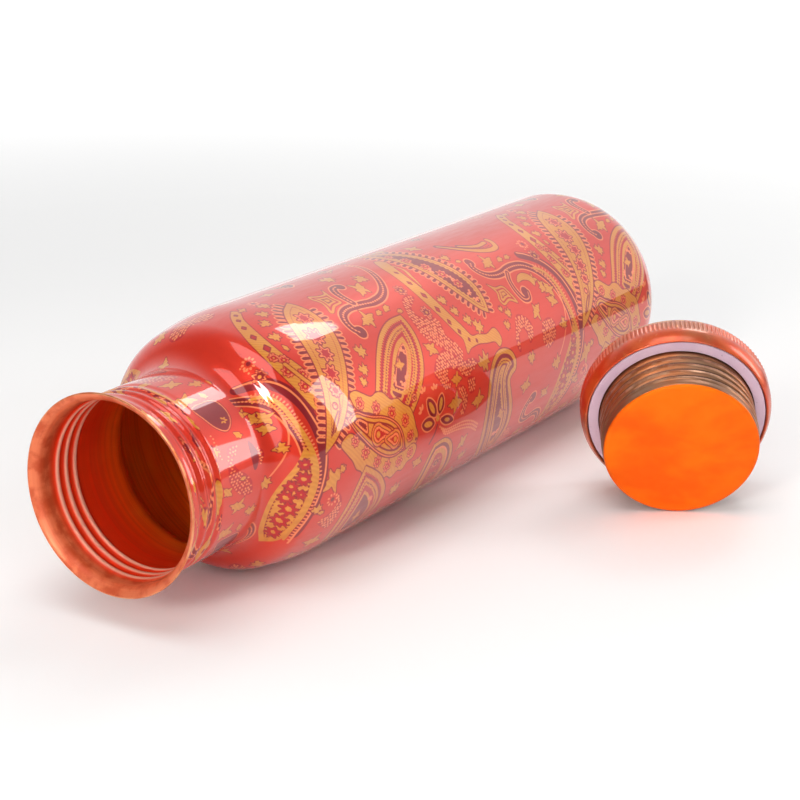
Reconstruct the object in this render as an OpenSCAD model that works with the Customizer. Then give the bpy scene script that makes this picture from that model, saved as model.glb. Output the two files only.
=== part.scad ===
// Copper water bottle lying on its side with its screw lid standing beside it.
// Frame: +Z up, floor at z = 0, bottle axis along X with the mouth towards -X.
// Units are millimetres.

/* [Bottle] */
// outer radius of the cylindrical body
body_r = 36.5; // [30:0.5:45]
// length from the lip plane to the standing ring
bottle_len = 259.1; // [200:0.5:320]
// thickness of the copper wall
wall = 0.6; // [0.5:0.1:1.5]
// where the shoulder runs out into the straight body, from the lip
shoulder_end = 61.7; // [50:0.1:80]
// radius of the long upper curve of the shoulder
shoulder_r1 = 75.5; // [50:0.5:110]
// angle at which the long curve gives way to the tight one
shoulder_a1 = 13.3; // [8:0.1:20]
// radius of the tight lower curve of the shoulder
shoulder_r2 = 8.8; // [6:0.1:14]
// radius of the hollow curve between shoulder and neck
neck_fillet = 8.0; // [5:0.1:12]

/* [Neck] */
// outer radius of the neck
neck_r = 25.1; // [20:0.1:30]
// radius of the hollow curve that flares the lip outwards
flare_r = 3.1; // [2:0.1:6]
// angle through which the lip is flared
flare_a = 68; // [40:1:80]
// pitch of the rolled thread
thread_pitch = 3.4; // [2.5:0.1:4]
// how deep the thread is rolled into the neck
thread_depth = 0.7; // [0.4:0.05:1]
// distance of the first rolled groove from the lip
thread_start = 7.6; // [6:0.1:10]
// number of rolled grooves
thread_turns = 3; // [2:1:4]

/* [Base] */
// radius of the long curve at the base corner
base_r1 = 24.3; // [15:0.1:26]
// angle at which the long base curve ends
base_a1 = 50; // [35:1:60]
// radius of the tight curve that ends on the standing ring
base_r2 = 8.0; // [4:0.1:12]
// inner radius of the standing ring
foot_hole_r = 20.0; // [15:0.5:22]
// depth of the recess under the base
foot_recess = 3.6; // [2:0.1:6]

/* [Lid] */
// outer radius of the knurled band
band_r = 28.8; // [24:0.1:33]
// width of the knurled band
band_w = 5.8; // [4:0.1:8]
// number of knurls around the band
knurls = 132; // [80:4:160]
// depth of one knurl
knurl_depth = 0.3; // [0.2:0.05:0.5]
// height of the rolled rim in front of the band
rim_h = 3.9; // [3:0.1:5]
// radius of the rounded edge at the closed end of the cap
cap_edge_r = 2.2; // [1:0.1:3]
// outer radius of the plug at the plain lead-in
plug_r = 22.9; // [20:0.1:26]
// outer radius of the plug's thread crests
plug_crest_r = 23.3; // [20:0.1:26]
// distance from the front of the band to the end of the plug
plug_end = 20.8; // [18:0.1:26]
// edge rounding of the plug's end disc
disc_edge_r = 1.0; // [0.5:0.1:2]

/* [Gasket] */
// inner radius of the sealing ring
seal_ri = 23.6; // [20:0.05:26]
// outer radius of the sealing ring
seal_ro = 26.4; // [24:0.05:30]
// thickness of the sealing ring
seal_t = 2.0; // [1.5:0.1:3]

/* [Where the lid stands] */
// distance of the lid's band from the lip plane, along the bottle
lid_along = 167; // [120:0.5:220]
// distance of the lid's band from the bottle's axis
lid_beside = 80.5; // [75:0.1:120]
// direction in which the plug points, about +Z
lid_heading = -150; // [-180:0.1:180]

/* [Hidden] */
$fn = 96;

// the row is centred on the origin along X and Y
x_shift = -bottle_len / 2;
y_shift = 36.9;

// lid tilt: the band's front edge and the rounded plug end both touch the floor
disc_cz = plug_end - disc_edge_r;
disc_cr = plug_r - disc_edge_r;
lid_tilt = atan2(band_r - disc_cr, disc_cz) - asin(disc_edge_r / norm([band_r - disc_cr, disc_cz]));

// end angle of the tight shoulder curve, so that the hollow curve meets the neck
shoulder_a2 = acos((neck_r - body_r + shoulder_r1 * (1 - cos(shoulder_a1))
    + shoulder_r2 * cos(shoulder_a1) + neck_fillet) / (shoulder_r2 + neck_fillet));
// where the plain neck ends
neck_end = shoulder_end - shoulder_r1 * sin(shoulder_a1)
    - shoulder_r2 * (sin(shoulder_a2) - sin(shoulder_a1)) - neck_fillet * sin(shoulder_a2);

// centres of the curves as [radius, distance from the lip]
c1 = [body_r - shoulder_r1, shoulder_end];
c2 = c1 + (shoulder_r1 - shoulder_r2) * [cos(shoulder_a1), -sin(shoulder_a1)];
c3 = [neck_r + neck_fillet, neck_end];
b_full = bottle_len + (base_r1 - base_r2) * (1 - sin(base_a1));
b1 = [body_r - base_r1, b_full - base_r1];
b2 = b1 + (base_r1 - base_r2) * [cos(base_a1), sin(base_a1)];
lip_s = (flare_r + wall) * sin(flare_a);

function arc(c, r, from, to, n) = [for (i = [0:n]) let (a = from + (to - from) * i / n) c + r * [cos(a), sin(a)]];

// the neck wall with its rolled grooves, o is the depth below the outer skin
function groove(z, o) = [
    [neck_r - o, z - 1.2], [neck_r - thread_depth - o, z - 0.4],
    [neck_r - thread_depth - o, z + 0.4], [neck_r - o, z + 1.2]];
function grooves(o) = [for (k = [0:thread_turns - 1]) each groove(thread_start + k * thread_pitch, o)];

// the flared lip, from its edge to the neck
function flare(o) = arc([neck_r + flare_r, lip_s], flare_r + o, 180 + flare_a, 180, 12);

// wall line from the lip to the end of the body curve, o is the depth below the outer skin
function wall_line(o) = concat(
    flare(o),
    grooves(o),
    arc(c3, neck_fillet + o, 180, 180 - shoulder_a2, 16),
    arc(c2, shoulder_r2 - o, -shoulder_a2, -shoulder_a1, 14),
    arc(c1, shoulder_r1 - o, -shoulder_a1, 0, 12),
    arc(b1, base_r1 - o, 0, base_a1, 14),
    arc(b2, base_r2 - o, base_a1, 90, 12));

function reversed(l) = [for (i = [len(l) - 1:-1:0]) l[i]];

// carries a shape whose axis is Z from the lip onto the lying bottle
module on_bottle() {
    translate([x_shift, y_shift, body_r]) rotate([0, 90, 0]) children();
}

// carries a shape whose axis is Z from the band's front edge onto the standing lid
module on_lid() {
    translate([x_shift + lid_along, y_shift - lid_beside, band_r * cos(lid_tilt)])
        rotate([0, 90 + lid_tilt, lid_heading]) children();
}

module bottle_shell() {
    color([0.78, 0.22, 0.14])
    on_bottle() rotate_extrude()
        polygon(concat(
            wall_line(0),
            [[foot_hole_r, bottle_len], [foot_hole_r, bottle_len - wall]],
            reversed(wall_line(wall))));
}

module base_plate() {
    color([0.82, 0.42, 0.22])
    on_bottle() rotate_extrude()
        polygon([
            [foot_hole_r - 0.05, bottle_len - 0.1],
            [foot_hole_r - 0.05, bottle_len - foot_recess - wall],
            [0, bottle_len - foot_recess - wall],
            [0, bottle_len - foot_recess],
            [foot_hole_r - 0.05 - wall, bottle_len - foot_recess],
            [foot_hole_r - 0.05 - wall, bottle_len - 0.1]]);
}

module cap_shell() {
    color([0.80, 0.36, 0.18])
    on_lid() {
        difference() {
            union() {
                // closed end with its rounded edge
                rotate_extrude()
                    polygon(concat(
                        [[0, -band_w - cap_edge_r - 0.2]],
                        arc([band_r - 0.4 - cap_edge_r, -band_w - 0.2], cap_edge_r, -90, 0, 8),
                        [[band_r - 0.4, -band_w], [0, -band_w]]));
                // knurled band
                translate([0, 0, -band_w])
                    linear_extrude(height = band_w)
                        polygon([for (i = [0:knurls - 1]) each [
                            (band_r) * [cos((i - 0.2) * 360 / knurls), sin((i - 0.2) * 360 / knurls)],
                            (band_r) * [cos((i + 0.2) * 360 / knurls), sin((i + 0.2) * 360 / knurls)],
                            (band_r - knurl_depth) * [cos((i + 0.5) * 360 / knurls), sin((i + 0.5) * 360 / knurls)]]]);
                // rolled rim in front of the band
                rotate_extrude()
                    polygon(concat(
                        [[0, 0], [band_r - 0.5, 0]],
                        arc([band_r - 0.5 - 1.0, rim_h - 2.4], 1.0, 0, 30, 2),
                        arc([seal_ro + 0.3 + 0.35, rim_h - 0.35], 0.35, 30, 90, 4),
                        [[0, rim_h]]));
            }
            // inside of the cup
            translate([0, 0, -band_w - cap_edge_r - 0.2 + wall])
                cylinder(r = seal_ro + 0.3, h = band_w + cap_edge_r + rim_h + 2);
        }
    }
}

module plug_cup() {
    z0 = -band_w - cap_edge_r - 0.2 + wall;
    zf = rim_h - seal_t - 0.1;
    z1 = disc_cz;
    turns = 4;
    color([0.62, 0.42, 0.26])
    on_lid() rotate_extrude()
        polygon(concat(
            // outside, from the closed end of the cap to the end of the plug
            [[plug_r - 0.3, z0], [plug_r - 0.3, zf - wall], [seal_ro + 0.25, zf - wall], [seal_ro + 0.25, zf], [plug_r - 0.6, zf]],
            [for (k = [0:turns - 1]) each let (z = rim_h + 1.4 + k * thread_pitch) [
                [plug_r - 0.6, z - 1.0], [plug_crest_r, z - 0.35], [plug_crest_r, z + 0.35], [plug_r - 0.6, z + 1.0]]],
            [[plug_r - 0.6, z1 - 2.6], [plug_r, z1 - 2.1], [plug_r, z1]],
            // inside
            [[plug_r - 1.6, z1], [plug_r - 1.6, z0]]));
}

module plug_end_disc() {
    color([0.90, 0.48, 0.16])
    on_lid() rotate_extrude()
        polygon(concat(
            [[0, disc_cz], [plug_r, disc_cz]],
            arc([disc_cr, disc_cz], disc_edge_r, 10, 90, 8),
            [[0, plug_end]]));
}

module sealing_gasket() {
    color([0.78, 0.70, 0.80])
    on_lid() translate([0, 0, rim_h - seal_t + 0.05])
        difference() {
            cylinder(r = seal_ro, h = seal_t);
            translate([0, 0, -1]) cylinder(r = seal_ri, h = seal_t + 2);
        }
}

bottle_shell();
base_plate();
cap_shell();
plug_cup();
plug_end_disc();
sealing_gasket();
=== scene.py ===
# Looks for the copper water bottle: printed and lacquered bottle, bare copper inside, screw lid.
# Everything is computed here; lengths in the helper sections are millimetres, MM turns them into metres.
import math

import bpy
import numpy as np
from mathutils import Matrix, Vector


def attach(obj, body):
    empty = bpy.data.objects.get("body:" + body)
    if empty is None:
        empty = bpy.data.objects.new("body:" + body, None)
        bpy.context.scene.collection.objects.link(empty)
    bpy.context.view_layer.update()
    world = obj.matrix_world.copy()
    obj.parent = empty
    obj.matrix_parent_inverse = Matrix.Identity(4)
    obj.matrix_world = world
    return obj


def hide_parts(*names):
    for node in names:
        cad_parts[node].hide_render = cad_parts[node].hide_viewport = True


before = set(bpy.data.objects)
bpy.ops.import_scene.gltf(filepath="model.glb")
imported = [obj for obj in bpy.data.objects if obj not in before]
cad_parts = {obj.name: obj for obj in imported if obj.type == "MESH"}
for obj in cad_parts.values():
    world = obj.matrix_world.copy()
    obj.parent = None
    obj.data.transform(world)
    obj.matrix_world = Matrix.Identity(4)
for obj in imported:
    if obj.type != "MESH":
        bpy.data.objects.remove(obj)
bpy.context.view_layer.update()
MM = 0.001

# ---------------------------------------------------------------- shapes shared with the CAD
BODY_R, LENGTH, WALL = 36.5, 259.1, 0.6
NECK_R, FLARE_R, FLARE_A = 25.1, 3.1, 68.0
SH_END, SH_R1, SH_A1, SH_R2, FILLET = 61.7, 75.5, 13.3, 8.8, 8.0
PITCH, TH_DEPTH, TH_START = 3.4, 0.7, 7.6
B_R1, B_A1, B_R2 = 24.3, 50.0, 8.0
FOOT_R, FOOT_DEEP = 20.0, 3.6
X0, Y0, Z0 = -LENGTH / 2, 36.9, BODY_R
BAND_R, BAND_W, PLUG_END = 28.8, 5.8, 20.8
LID_TILT = math.atan2(BAND_R - 21.9, PLUG_END - 1) - math.asin(1 / math.hypot(BAND_R - 21.9, PLUG_END - 1))
LID_HEAD = math.radians(-150)
LID_AT = Vector((X0 + 167.0, Y0 - 80.5, BAND_R * math.cos(LID_TILT)))
LID_M = Matrix.Translation(LID_AT) @ Matrix.Rotation(LID_HEAD, 4, "Z") @ Matrix.Rotation(math.pi / 2 + LID_TILT, 4, "Y")


def arc(c, r, a, b, n):
    t = np.radians(np.linspace(a, b, n + 1))
    return np.stack([c[0] + r * np.cos(t), c[1] + r * np.sin(t)], 1)


def wall_line(o):
    """Bottle wall as (radius, distance from the lip), o below the outer skin, with no thread."""
    rad = math.radians
    c1 = np.array([BODY_R - SH_R1, SH_END])
    c2 = c1 + (SH_R1 - SH_R2) * np.array([math.cos(rad(SH_A1)), -math.sin(rad(SH_A1))])
    a2 = math.degrees(math.acos((NECK_R - BODY_R + SH_R1 * (1 - math.cos(rad(SH_A1))) + SH_R2 * math.cos(rad(SH_A1)) + FILLET) / (SH_R2 + FILLET)))
    neck_end = SH_END - SH_R1 * math.sin(rad(SH_A1)) - SH_R2 * (math.sin(rad(a2)) - math.sin(rad(SH_A1))) - FILLET * math.sin(rad(a2))
    b_full = LENGTH + (B_R1 - B_R2) * (1 - math.sin(rad(B_A1)))
    b1 = np.array([BODY_R - B_R1, b_full - B_R1])
    b2 = b1 + (B_R1 - B_R2) * np.array([math.cos(rad(B_A1)), math.sin(rad(B_A1))])
    lip_s = (FLARE_R + WALL) * math.sin(rad(FLARE_A))
    return np.concatenate([
        arc([NECK_R + FLARE_R, lip_s], FLARE_R + o, 180 + FLARE_A, 180, 16),
        arc([NECK_R + FILLET, neck_end], FILLET + o, 180, 180 - a2, 20),
        arc(c2, SH_R2 - o, -a2, -SH_A1, 16),
        arc(c1, SH_R1 - o, -SH_A1, 0, 16),
        arc(b1, B_R1 - o, 0, B_A1, 18),
        arc(b2, B_R2 - o, B_A1, 90, 14),
        [[FOOT_R, LENGTH - o]]])


def resample(line, steps):
    t = np.concatenate([[0], np.cumsum(np.hypot(*np.diff(line, axis=0).T))])
    at = np.asarray(steps(t[-1]) if callable(steps) else steps, float)
    return at, np.interp(at, t, line[:, 0]), np.interp(at, t, line[:, 1])


def thread_depth(s, th):
    """How far the rolled thread is pressed in at distance s from the lip and angle th, 0 to 1."""
    p = (s - (TH_START - 0.6 * PITCH)) / PITCH
    tau = np.round(p - th / (2 * math.pi)) + th / (2 * math.pi)
    ramp = np.clip((tau + 0.1) / 0.35, 0, 1) * np.clip((3.15 - tau) / 0.35, 0, 1)
    ramp = ramp * ramp * (3 - 2 * ramp)
    return ramp * np.exp(-np.abs((p - tau) * PITCH / 0.92) ** 2.6)


# ---------------------------------------------------------------- the print, drawn as signed distances
TILE_X, TILE_Y = 145.3, math.pi * BODY_R          # the print repeats along the bottle, and twice round it
NX = 412
NY = 324
CX, CY = TILE_X / NX, TILE_Y / NY
GOLD, MAROON, LIGHT, CRIMSON = 0, 1, 2, 3
REACH = 0.7


def smooth(points, closed=False, n=8):
    """A Catmull-Rom curve through the points."""
    p = np.asarray(points, float)
    if len(p) < 3:
        return p
    if closed:
        q = np.concatenate([p[-1:], p, p[:2]])
    else:
        q = np.concatenate([[2 * p[0] - p[1]], p, [2 * p[-1] - p[-2]]])
    out = []
    t = np.linspace(0, 1, n, endpoint=False)[:, None]
    for k in range(1, len(q) - 2):
        a, b, c, d = q[k - 1], q[k], q[k + 1], q[k + 2]
        out.append(0.5 * (2 * b + (c - a) * t + (2 * a - 5 * b + 4 * c - d) * t ** 2 + (3 * b - a - 3 * c + d) * t ** 3))
    out = np.concatenate(out)
    return out if closed else np.concatenate([out, q[-2:-1]])


def leaf(left, right, n=7):
    """A closed outline from two smooth sides that share both tips."""
    a, b = smooth(left, n=n), smooth(right, n=n)
    return np.concatenate([a[:-1], b[:-1]])


def distance(X, Y, P, closed):
    """Distance to the outline, the length along it at the nearest point, and whether the point is inside."""
    A, B = (P, np.roll(P, -1, 0)) if closed else (P[:-1], P[1:])
    best = np.full(X.shape, 1e9)
    along = np.zeros(X.shape)
    inside = np.zeros(X.shape, bool)
    run = 0.0
    for (ax, ay), (bx, by) in zip(A, B):
        dx, dy = bx - ax, by - ay
        l2 = dx * dx + dy * dy
        if l2 < 1e-12:
            continue
        t = np.clip(((X - ax) * dx + (Y - ay) * dy) / l2, 0, 1)
        d = (X - ax - t * dx) ** 2 + (Y - ay - t * dy) ** 2
        near = d < best
        best = np.where(near, d, best)
        along = np.where(near, run + t * math.sqrt(l2), along)
        if closed and ay != by:
            inside ^= ((ay > Y) != (by > Y)) & (X < dx * (Y - ay) / dy + ax)
        run += math.sqrt(l2)
    return np.sqrt(best), along, inside, run


def points_along(P, pitch, closed=False, start=0.0, end=None):
    """Places and directions at even steps along a line."""
    Q = np.concatenate([P, P[:1]]) if closed else P
    t = np.concatenate([[0], np.cumsum(np.hypot(*np.diff(Q, axis=0).T))])
    stop = t[-1] if end is None else end
    n = max(int(round((stop - start) / pitch)), 1)
    at = start + (np.arange(n) + 0.5) * (stop - start) / n
    x, y = np.interp(at, t, Q[:, 0]), np.interp(at, t, Q[:, 1])
    e = 0.15
    gx = np.interp(at + e, t, Q[:, 0]) - np.interp(at - e, t, Q[:, 0])
    gy = np.interp(at + e, t, Q[:, 1]) - np.interp(at - e, t, Q[:, 1])
    g = np.hypot(gx, gy) + 1e-9
    return np.stack([x, y], 1), np.stack([gx / g, gy / g], 1)


class Print:
    """Each ink's signed reach in mm (positive inside the ink) on a grid that repeats both ways."""

    def __init__(self, nx, ny, x_from=0.0):
        self.nx, self.ny, self.x_from = nx, ny, x_from
        self.f = np.full((4, ny, nx), -REACH, np.float32)

    def window(self, P, more):
        lo, hi = P.min(0) - more, P.max(0) + more
        ix = np.arange(math.floor((lo[0] - self.x_from) / CX), math.ceil((hi[0] - self.x_from) / CX) + 1)
        iy = np.arange(math.floor(lo[1] / CY), math.ceil(hi[1] / CY) + 1)
        if len(ix) > self.nx:
            ix = ix[:self.nx]
        if len(iy) > self.ny:
            iy = iy[:self.ny]
        X, Y = np.meshgrid(self.x_from + ix * CX, iy * CY)
        return ix % self.nx, iy % self.ny, X, Y

    def put(self, ix, iy, s, ink):
        s = s.astype(np.float32)
        cut = np.ix_(iy, ix)
        for k in range(4):
            old = self.f[k][cut]
            self.f[k][cut] = np.clip(np.maximum(old, s) if k == ink else np.minimum(old, -s), -REACH, REACH)

    def fill(self, P, ink, grow=0.0):
        P = np.asarray(P, float)
        ix, iy, X, Y = self.window(P, 1.0 + max(grow, 0))
        d, _, inside, _ = distance(X, Y, P, True)
        self.put(ix, iy, np.where(inside, d, -d) + grow, ink)

    def stroke(self, P, width, ink, closed=False, ends=None):
        P = np.asarray(P, float)
        ix, iy, X, Y = self.window(P, 1.0 + width)
        d, along, _, run = distance(X, Y, P, closed)
        w = width / 2
        if ends is not None:
            w = np.interp(along / run, [0, 0.5, 1], [ends[0] / 2, width / 2, ends[1] / 2])
        self.put(ix, iy, w - d, ink)

    def ring(self, P, a, b, ink, teeth=0.0, pitch=1.0, side=1):
        """Ink between depths a and b inside the outline; teeth sets a saw edge on b (side 1) or a (side 0)."""
        P = np.asarray(P, float)
        ix, iy, X, Y = self.window(P, 1.0 + max(-a, 0))
        d, along, inside, run = distance(X, Y, P, True)
        depth = np.where(inside, d, -d)
        n = max(round(run / pitch), 1)
        saw = teeth * (np.abs(2 * ((along * n / run) % 1.0) - 1) - 0.5) * 2
        lo = a + (saw if side == 0 else 0)
        hi = b + (saw if side == 1 else 0)
        self.put(ix, iy, np.minimum(depth - lo, hi - depth), ink)

    def dots(self, C, r, ink, D=None, ratio=1.0):
        """Round or oval dots; D are directions of the long axis and ratio is length over width."""
        for k, c in enumerate(np.asarray(C, float)):
            ix, iy, X, Y = self.window(c[None], r * ratio + 0.8)
            x, y = X - c[0], Y - c[1]
            if D is not None:
                x, y = x * D[k][0] + y * D[k][1], -x * D[k][1] + y * D[k][0]
            q = np.hypot(x / ratio, y)
            self.put(ix, iy, (r - q) * np.clip(np.hypot(x, y) / (q + 1e-6), 1, ratio) * 0.9, ink)


def inset(P, a):
    """The outline moved inwards by a, for even curves."""
    P = np.asarray(P, float)
    g = np.roll(P, -1, 0) - np.roll(P, 1, 0)
    g /= np.hypot(g[:, 0], g[:, 1])[:, None] + 1e-9
    area = 0.5 * np.sum(P[:, 0] * np.roll(P[:, 1], -1) - np.roll(P[:, 0], -1) * P[:, 1])
    n = np.stack([-g[:, 1], g[:, 0]], 1) * (1 if area > 0 else -1)
    return P + n * a


def place(shape, at, size=1.0, turn=0.0, flip=1):
    a = math.radians(turn)
    s = np.asarray(shape, float) * [size, size * flip]
    return s @ np.array([[math.cos(a), math.sin(a)], [-math.sin(a), math.cos(a)]]) + at


# Small shapes of the pattern, about 1 mm across before they are scaled.
SPLASH = [(-1.15, 0.30), (-0.62, 0.02), (-0.42, -0.30), (-0.18, -0.22), (0.02, -0.62), (0.16, -1.05), (0.30, -0.66), (0.34, -0.30), (0.62, -0.34), (1.12, -0.16),
          (0.74, 0.10), (0.62, 0.34), (0.34, 0.36), (0.26, 0.62), (0.02, 0.96), (-0.06, 0.60), (-0.20, 0.40), (-0.46, 0.56), (-0.70, 0.34)]
SPLASH2 = [(-1.0, -0.42), (-0.62, -0.36), (-0.40, -0.88), (-0.14, -0.34), (0.16, -0.46), (0.50, -0.96), (0.56, -0.30), (1.02, -0.30), (0.70, 0.10), (0.86, 0.52),
           (0.40, 0.36), (0.30, 0.70), (0.06, 1.02), (-0.10, 0.56), (-0.50, 0.70), (-0.46, 0.20), (-0.86, 0.06)]
SPLASH3 = [(-1.1, -0.9), (-0.5, -0.66), (-0.2, -0.2), (0.1, -0.1), (0.34, -0.5), (0.86, -0.72), (0.62, -0.24), (0.80, 0.10), (1.15, 0.52), (0.60, 0.46), (0.40, 0.86),
           (0.08, 0.50), (-0.22, 0.62), (-0.74, 0.96), (-0.52, 0.40), (-0.66, 0.02), (-0.58, -0.36)]
DROP = [(-1.0, 0.0), (-0.45, -0.36), (0.1, -0.6), (0.35, -0.35), (0.85, -0.45), (0.72, 0.0), (0.95, 0.34), (0.35, 0.34), (0.1, 0.6), (-0.35, 0.32)]
TULIP = [(0.0, -1.0), (0.24, -0.42), (0.72, -0.80), (0.62, -0.16), (1.05, 0.14), (0.50, 0.34), (0.62, 0.82), (0.18, 0.56), (0.10, 1.0), (-0.18, 0.56), (-0.56, 0.86),
         (-0.45, 0.32), (-1.0, 0.2), (-0.62, -0.12), (-0.80, -0.72), (-0.24, -0.42)]
STAR = [(0, -1), (0.22, -0.5), (0.75, -0.75), (0.5, -0.22), (1, 0.05), (0.5, 0.22), (0.62, 0.8), (0.12, 0.5), (-0.3, 1.0),
        (-0.3, 0.4), (-0.95, 0.5), (-0.5, 0.05), (-0.95, -0.45), (-0.35, -0.4)]
DIAMOND = [(0, -1.0), (0.72, 0), (0, 1.0), (-0.72, 0)]


def splash(p, at, size, turn=0, shape=SPLASH, edge=0.32, flip=1, ink=GOLD):
    P = smooth(place(shape, at, size, turn, flip), True, 4)
    p.fill(P, MAROON, edge)
    p.fill(P, ink)


def tulip(p, at, size, turn=0, ink=CRIMSON, rim=True, shape=TULIP):
    P = smooth(place(shape, at, size, turn), True, 4)
    if rim:
        p.fill(P, MAROON, 0.5)
        p.fill(P, LIGHT, 0.22)
    p.fill(P, ink)
    p.dots([P.mean(0)], size * 0.26, GOLD)


def sprig(p, at, size, turn=0, n=3, ink=LIGHT, spread=42):
    for k in range(n):
        a = math.radians(turn + (k - (n - 1) / 2) * spread)
        u = np.array([math.cos(a), math.sin(a)])
        p.dots([np.asarray(at) + u * size * 0.62], size * 0.2, ink, [u], 2.0)


def rosette(p, at, r, n=9, ink=LIGHT, core=MAROON):
    a = np.arange(n) * 2 * math.pi / n
    D = np.stack([np.cos(a), np.sin(a)], 1)
    p.dots(np.asarray(at) + D * r, 0.3, ink, D, 1.6)
    if core is not None:
        p.dots([at], r * 0.42, core)


def dash_cloud(p, P, pitch=1.12, r=0.30, seed=1, core=True):
    """A cluster of small pale buds, each with a thin dark rim."""
    P = smooth(P, True, 5)
    if core:
        p.fill(P, CRIMSON, 0.15)
    rng = np.random.default_rng(seed)
    lo, hi = P.min(0), P.max(0)
    gx, gy = np.meshgrid(np.arange(lo[0], hi[0], pitch), np.arange(lo[1], hi[1], pitch * 0.86))
    gx = gx + (np.arange(gx.shape[0]) % 2)[:, None] * pitch / 2
    gx, gy = gx + rng.normal(0, pitch * 0.1, gx.shape), gy + rng.normal(0, pitch * 0.1, gy.shape)
    d, along, inside, _ = distance(gx, gy, P, True)
    keep = inside & (d > 0.1)
    C = np.stack([gx[keep], gy[keep]], 1)
    a = rng.uniform(-0.5, 0.5, len(C)) + np.arctan2(C[:, 1] - P[:, 1].mean(), C[:, 0] - P[:, 0].mean())
    D = np.stack([np.cos(a), np.sin(a)], 1)
    p.dots(C, r + 0.17, MAROON, D, 1.4)
    p.dots(C, r, LIGHT, D, 1.5)
    return C


def fringe(p, P, length, pitch, start, end, side, fill=MAROON, width=0.40, lean=0.0, gap=0.5):
    """U-shaped loops that stand along a line; side is 1 or -1."""
    C, D = points_along(P, pitch, False, start, end)
    for c, d in zip(C, D):
        n = np.array([-d[1], d[0]]) * side + d * lean
        n /= np.hypot(*n)
        q = np.array([n[1], -n[0]])
        w = pitch * 0.33
        a = c + n * gap
        loop = [a + q * w, a + q * w * 1.15 + n * length * 0.6, a + q * w * 0.7 + n * length * 0.92, a + n * length,
                a - q * w * 0.7 + n * length * 0.92, a - q * w * 1.15 + n * length * 0.6, a - q * w]
        loop = smooth(loop, n=3)
        if fill is not None:
            p.fill(loop, fill, 0.12)
        p.stroke(loop, width, LIGHT)


def scroll(p, line, width, ends, dash=True, pitch=1.15, bulb=None):
    """A dark band with pale edges and a dotted centre line; bulb is (centre, radius) of its curled end."""
    L = smooth(line, n=7)
    if bulb:
        c, r = bulb
        a = np.linspace(0, 2 * math.pi, 28, endpoint=False)
        B = np.stack([c[0] + r * np.cos(a), c[1] + r * np.sin(a)], 1)
        p.fill(B, LIGHT, 0.42)
    p.stroke(L, width + 0.9, LIGHT, ends=(ends[0] + 0.9, ends[1] + 0.9))
    if bulb:
        p.fill(B, MAROON)
    p.stroke(L, width, MAROON, ends=ends)
    if dash:
        C, D = points_along(L, pitch)
        p.dots(C, 0.3, LIGHT, D, 1.45)
    else:
        p.stroke(L, 0.4, LIGHT)


def toothed(p, P, rings=True, heart=True, at=None, seed=3):
    """A boteh with nested saw-edged rings."""
    p.fill(P, MAROON, 0.45)
    p.fill(P, GOLD)
    p.ring(P, 1.5, 3.1, CRIMSON, 0.42, 1.05, 0)
    p.ring(P, 2.15, 2.6, MAROON, 0.3, 1.05, 1)
    p.ring(P, 2.9, 4.7, GOLD, 0.34, 1.05, 0)
    p.ring(P, 3.7, 4.1, MAROON, 0.34, 1.05, 1)
    p.ring(P, 4.7, 6.2, CRIMSON, 0.3, 1.2, 0)
    p.ring(P, 6.2, 7.0, GOLD, 0.25, 1.2, 0)
    p.ring(P, 7.0, 30.0, MAROON)


def slim_leaf(p, P, left, right, flowers, lower_line=None):
    """The long gold leaf with dark flowers inside."""
    p.fill(P, MAROON, 0.42)
    p.fill(P, GOLD)
    p.ring(P, 1.55, 1.85, MAROON)
    for at, size, turn, shape in flowers:
        Q = smooth(place(shape, at, size, turn), True, 4)
        p.fill(Q, MAROON, 0.62)
        p.fill(Q, LIGHT, 0.2)
        p.fill(Q, CRIMSON, -0.12)


def bud(p, at, r, turn, tail):
    """A round bud with a pointed tail and toothed rim."""
    a = np.radians(np.linspace(50, 310, 14))
    body = [(r * math.cos(t), r * math.sin(t)) for t in a]
    P = smooth(place([(tail, 0)] + body, at, 1.0, turn), True, 5)
    p.fill(P, MAROON, 0.9)
    p.fill(P, LIGHT, 0.5)
    p.fill(P, GOLD, 0.3)
    p.fill(P, MAROON, -0.15)
    p.ring(P, 0.5, 1.15, LIGHT, 0.3, 0.9, 1)
    p.ring(P, 1.2, 9, CRIMSON)
    p.dots([at], r * 0.34, GOLD)


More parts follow.
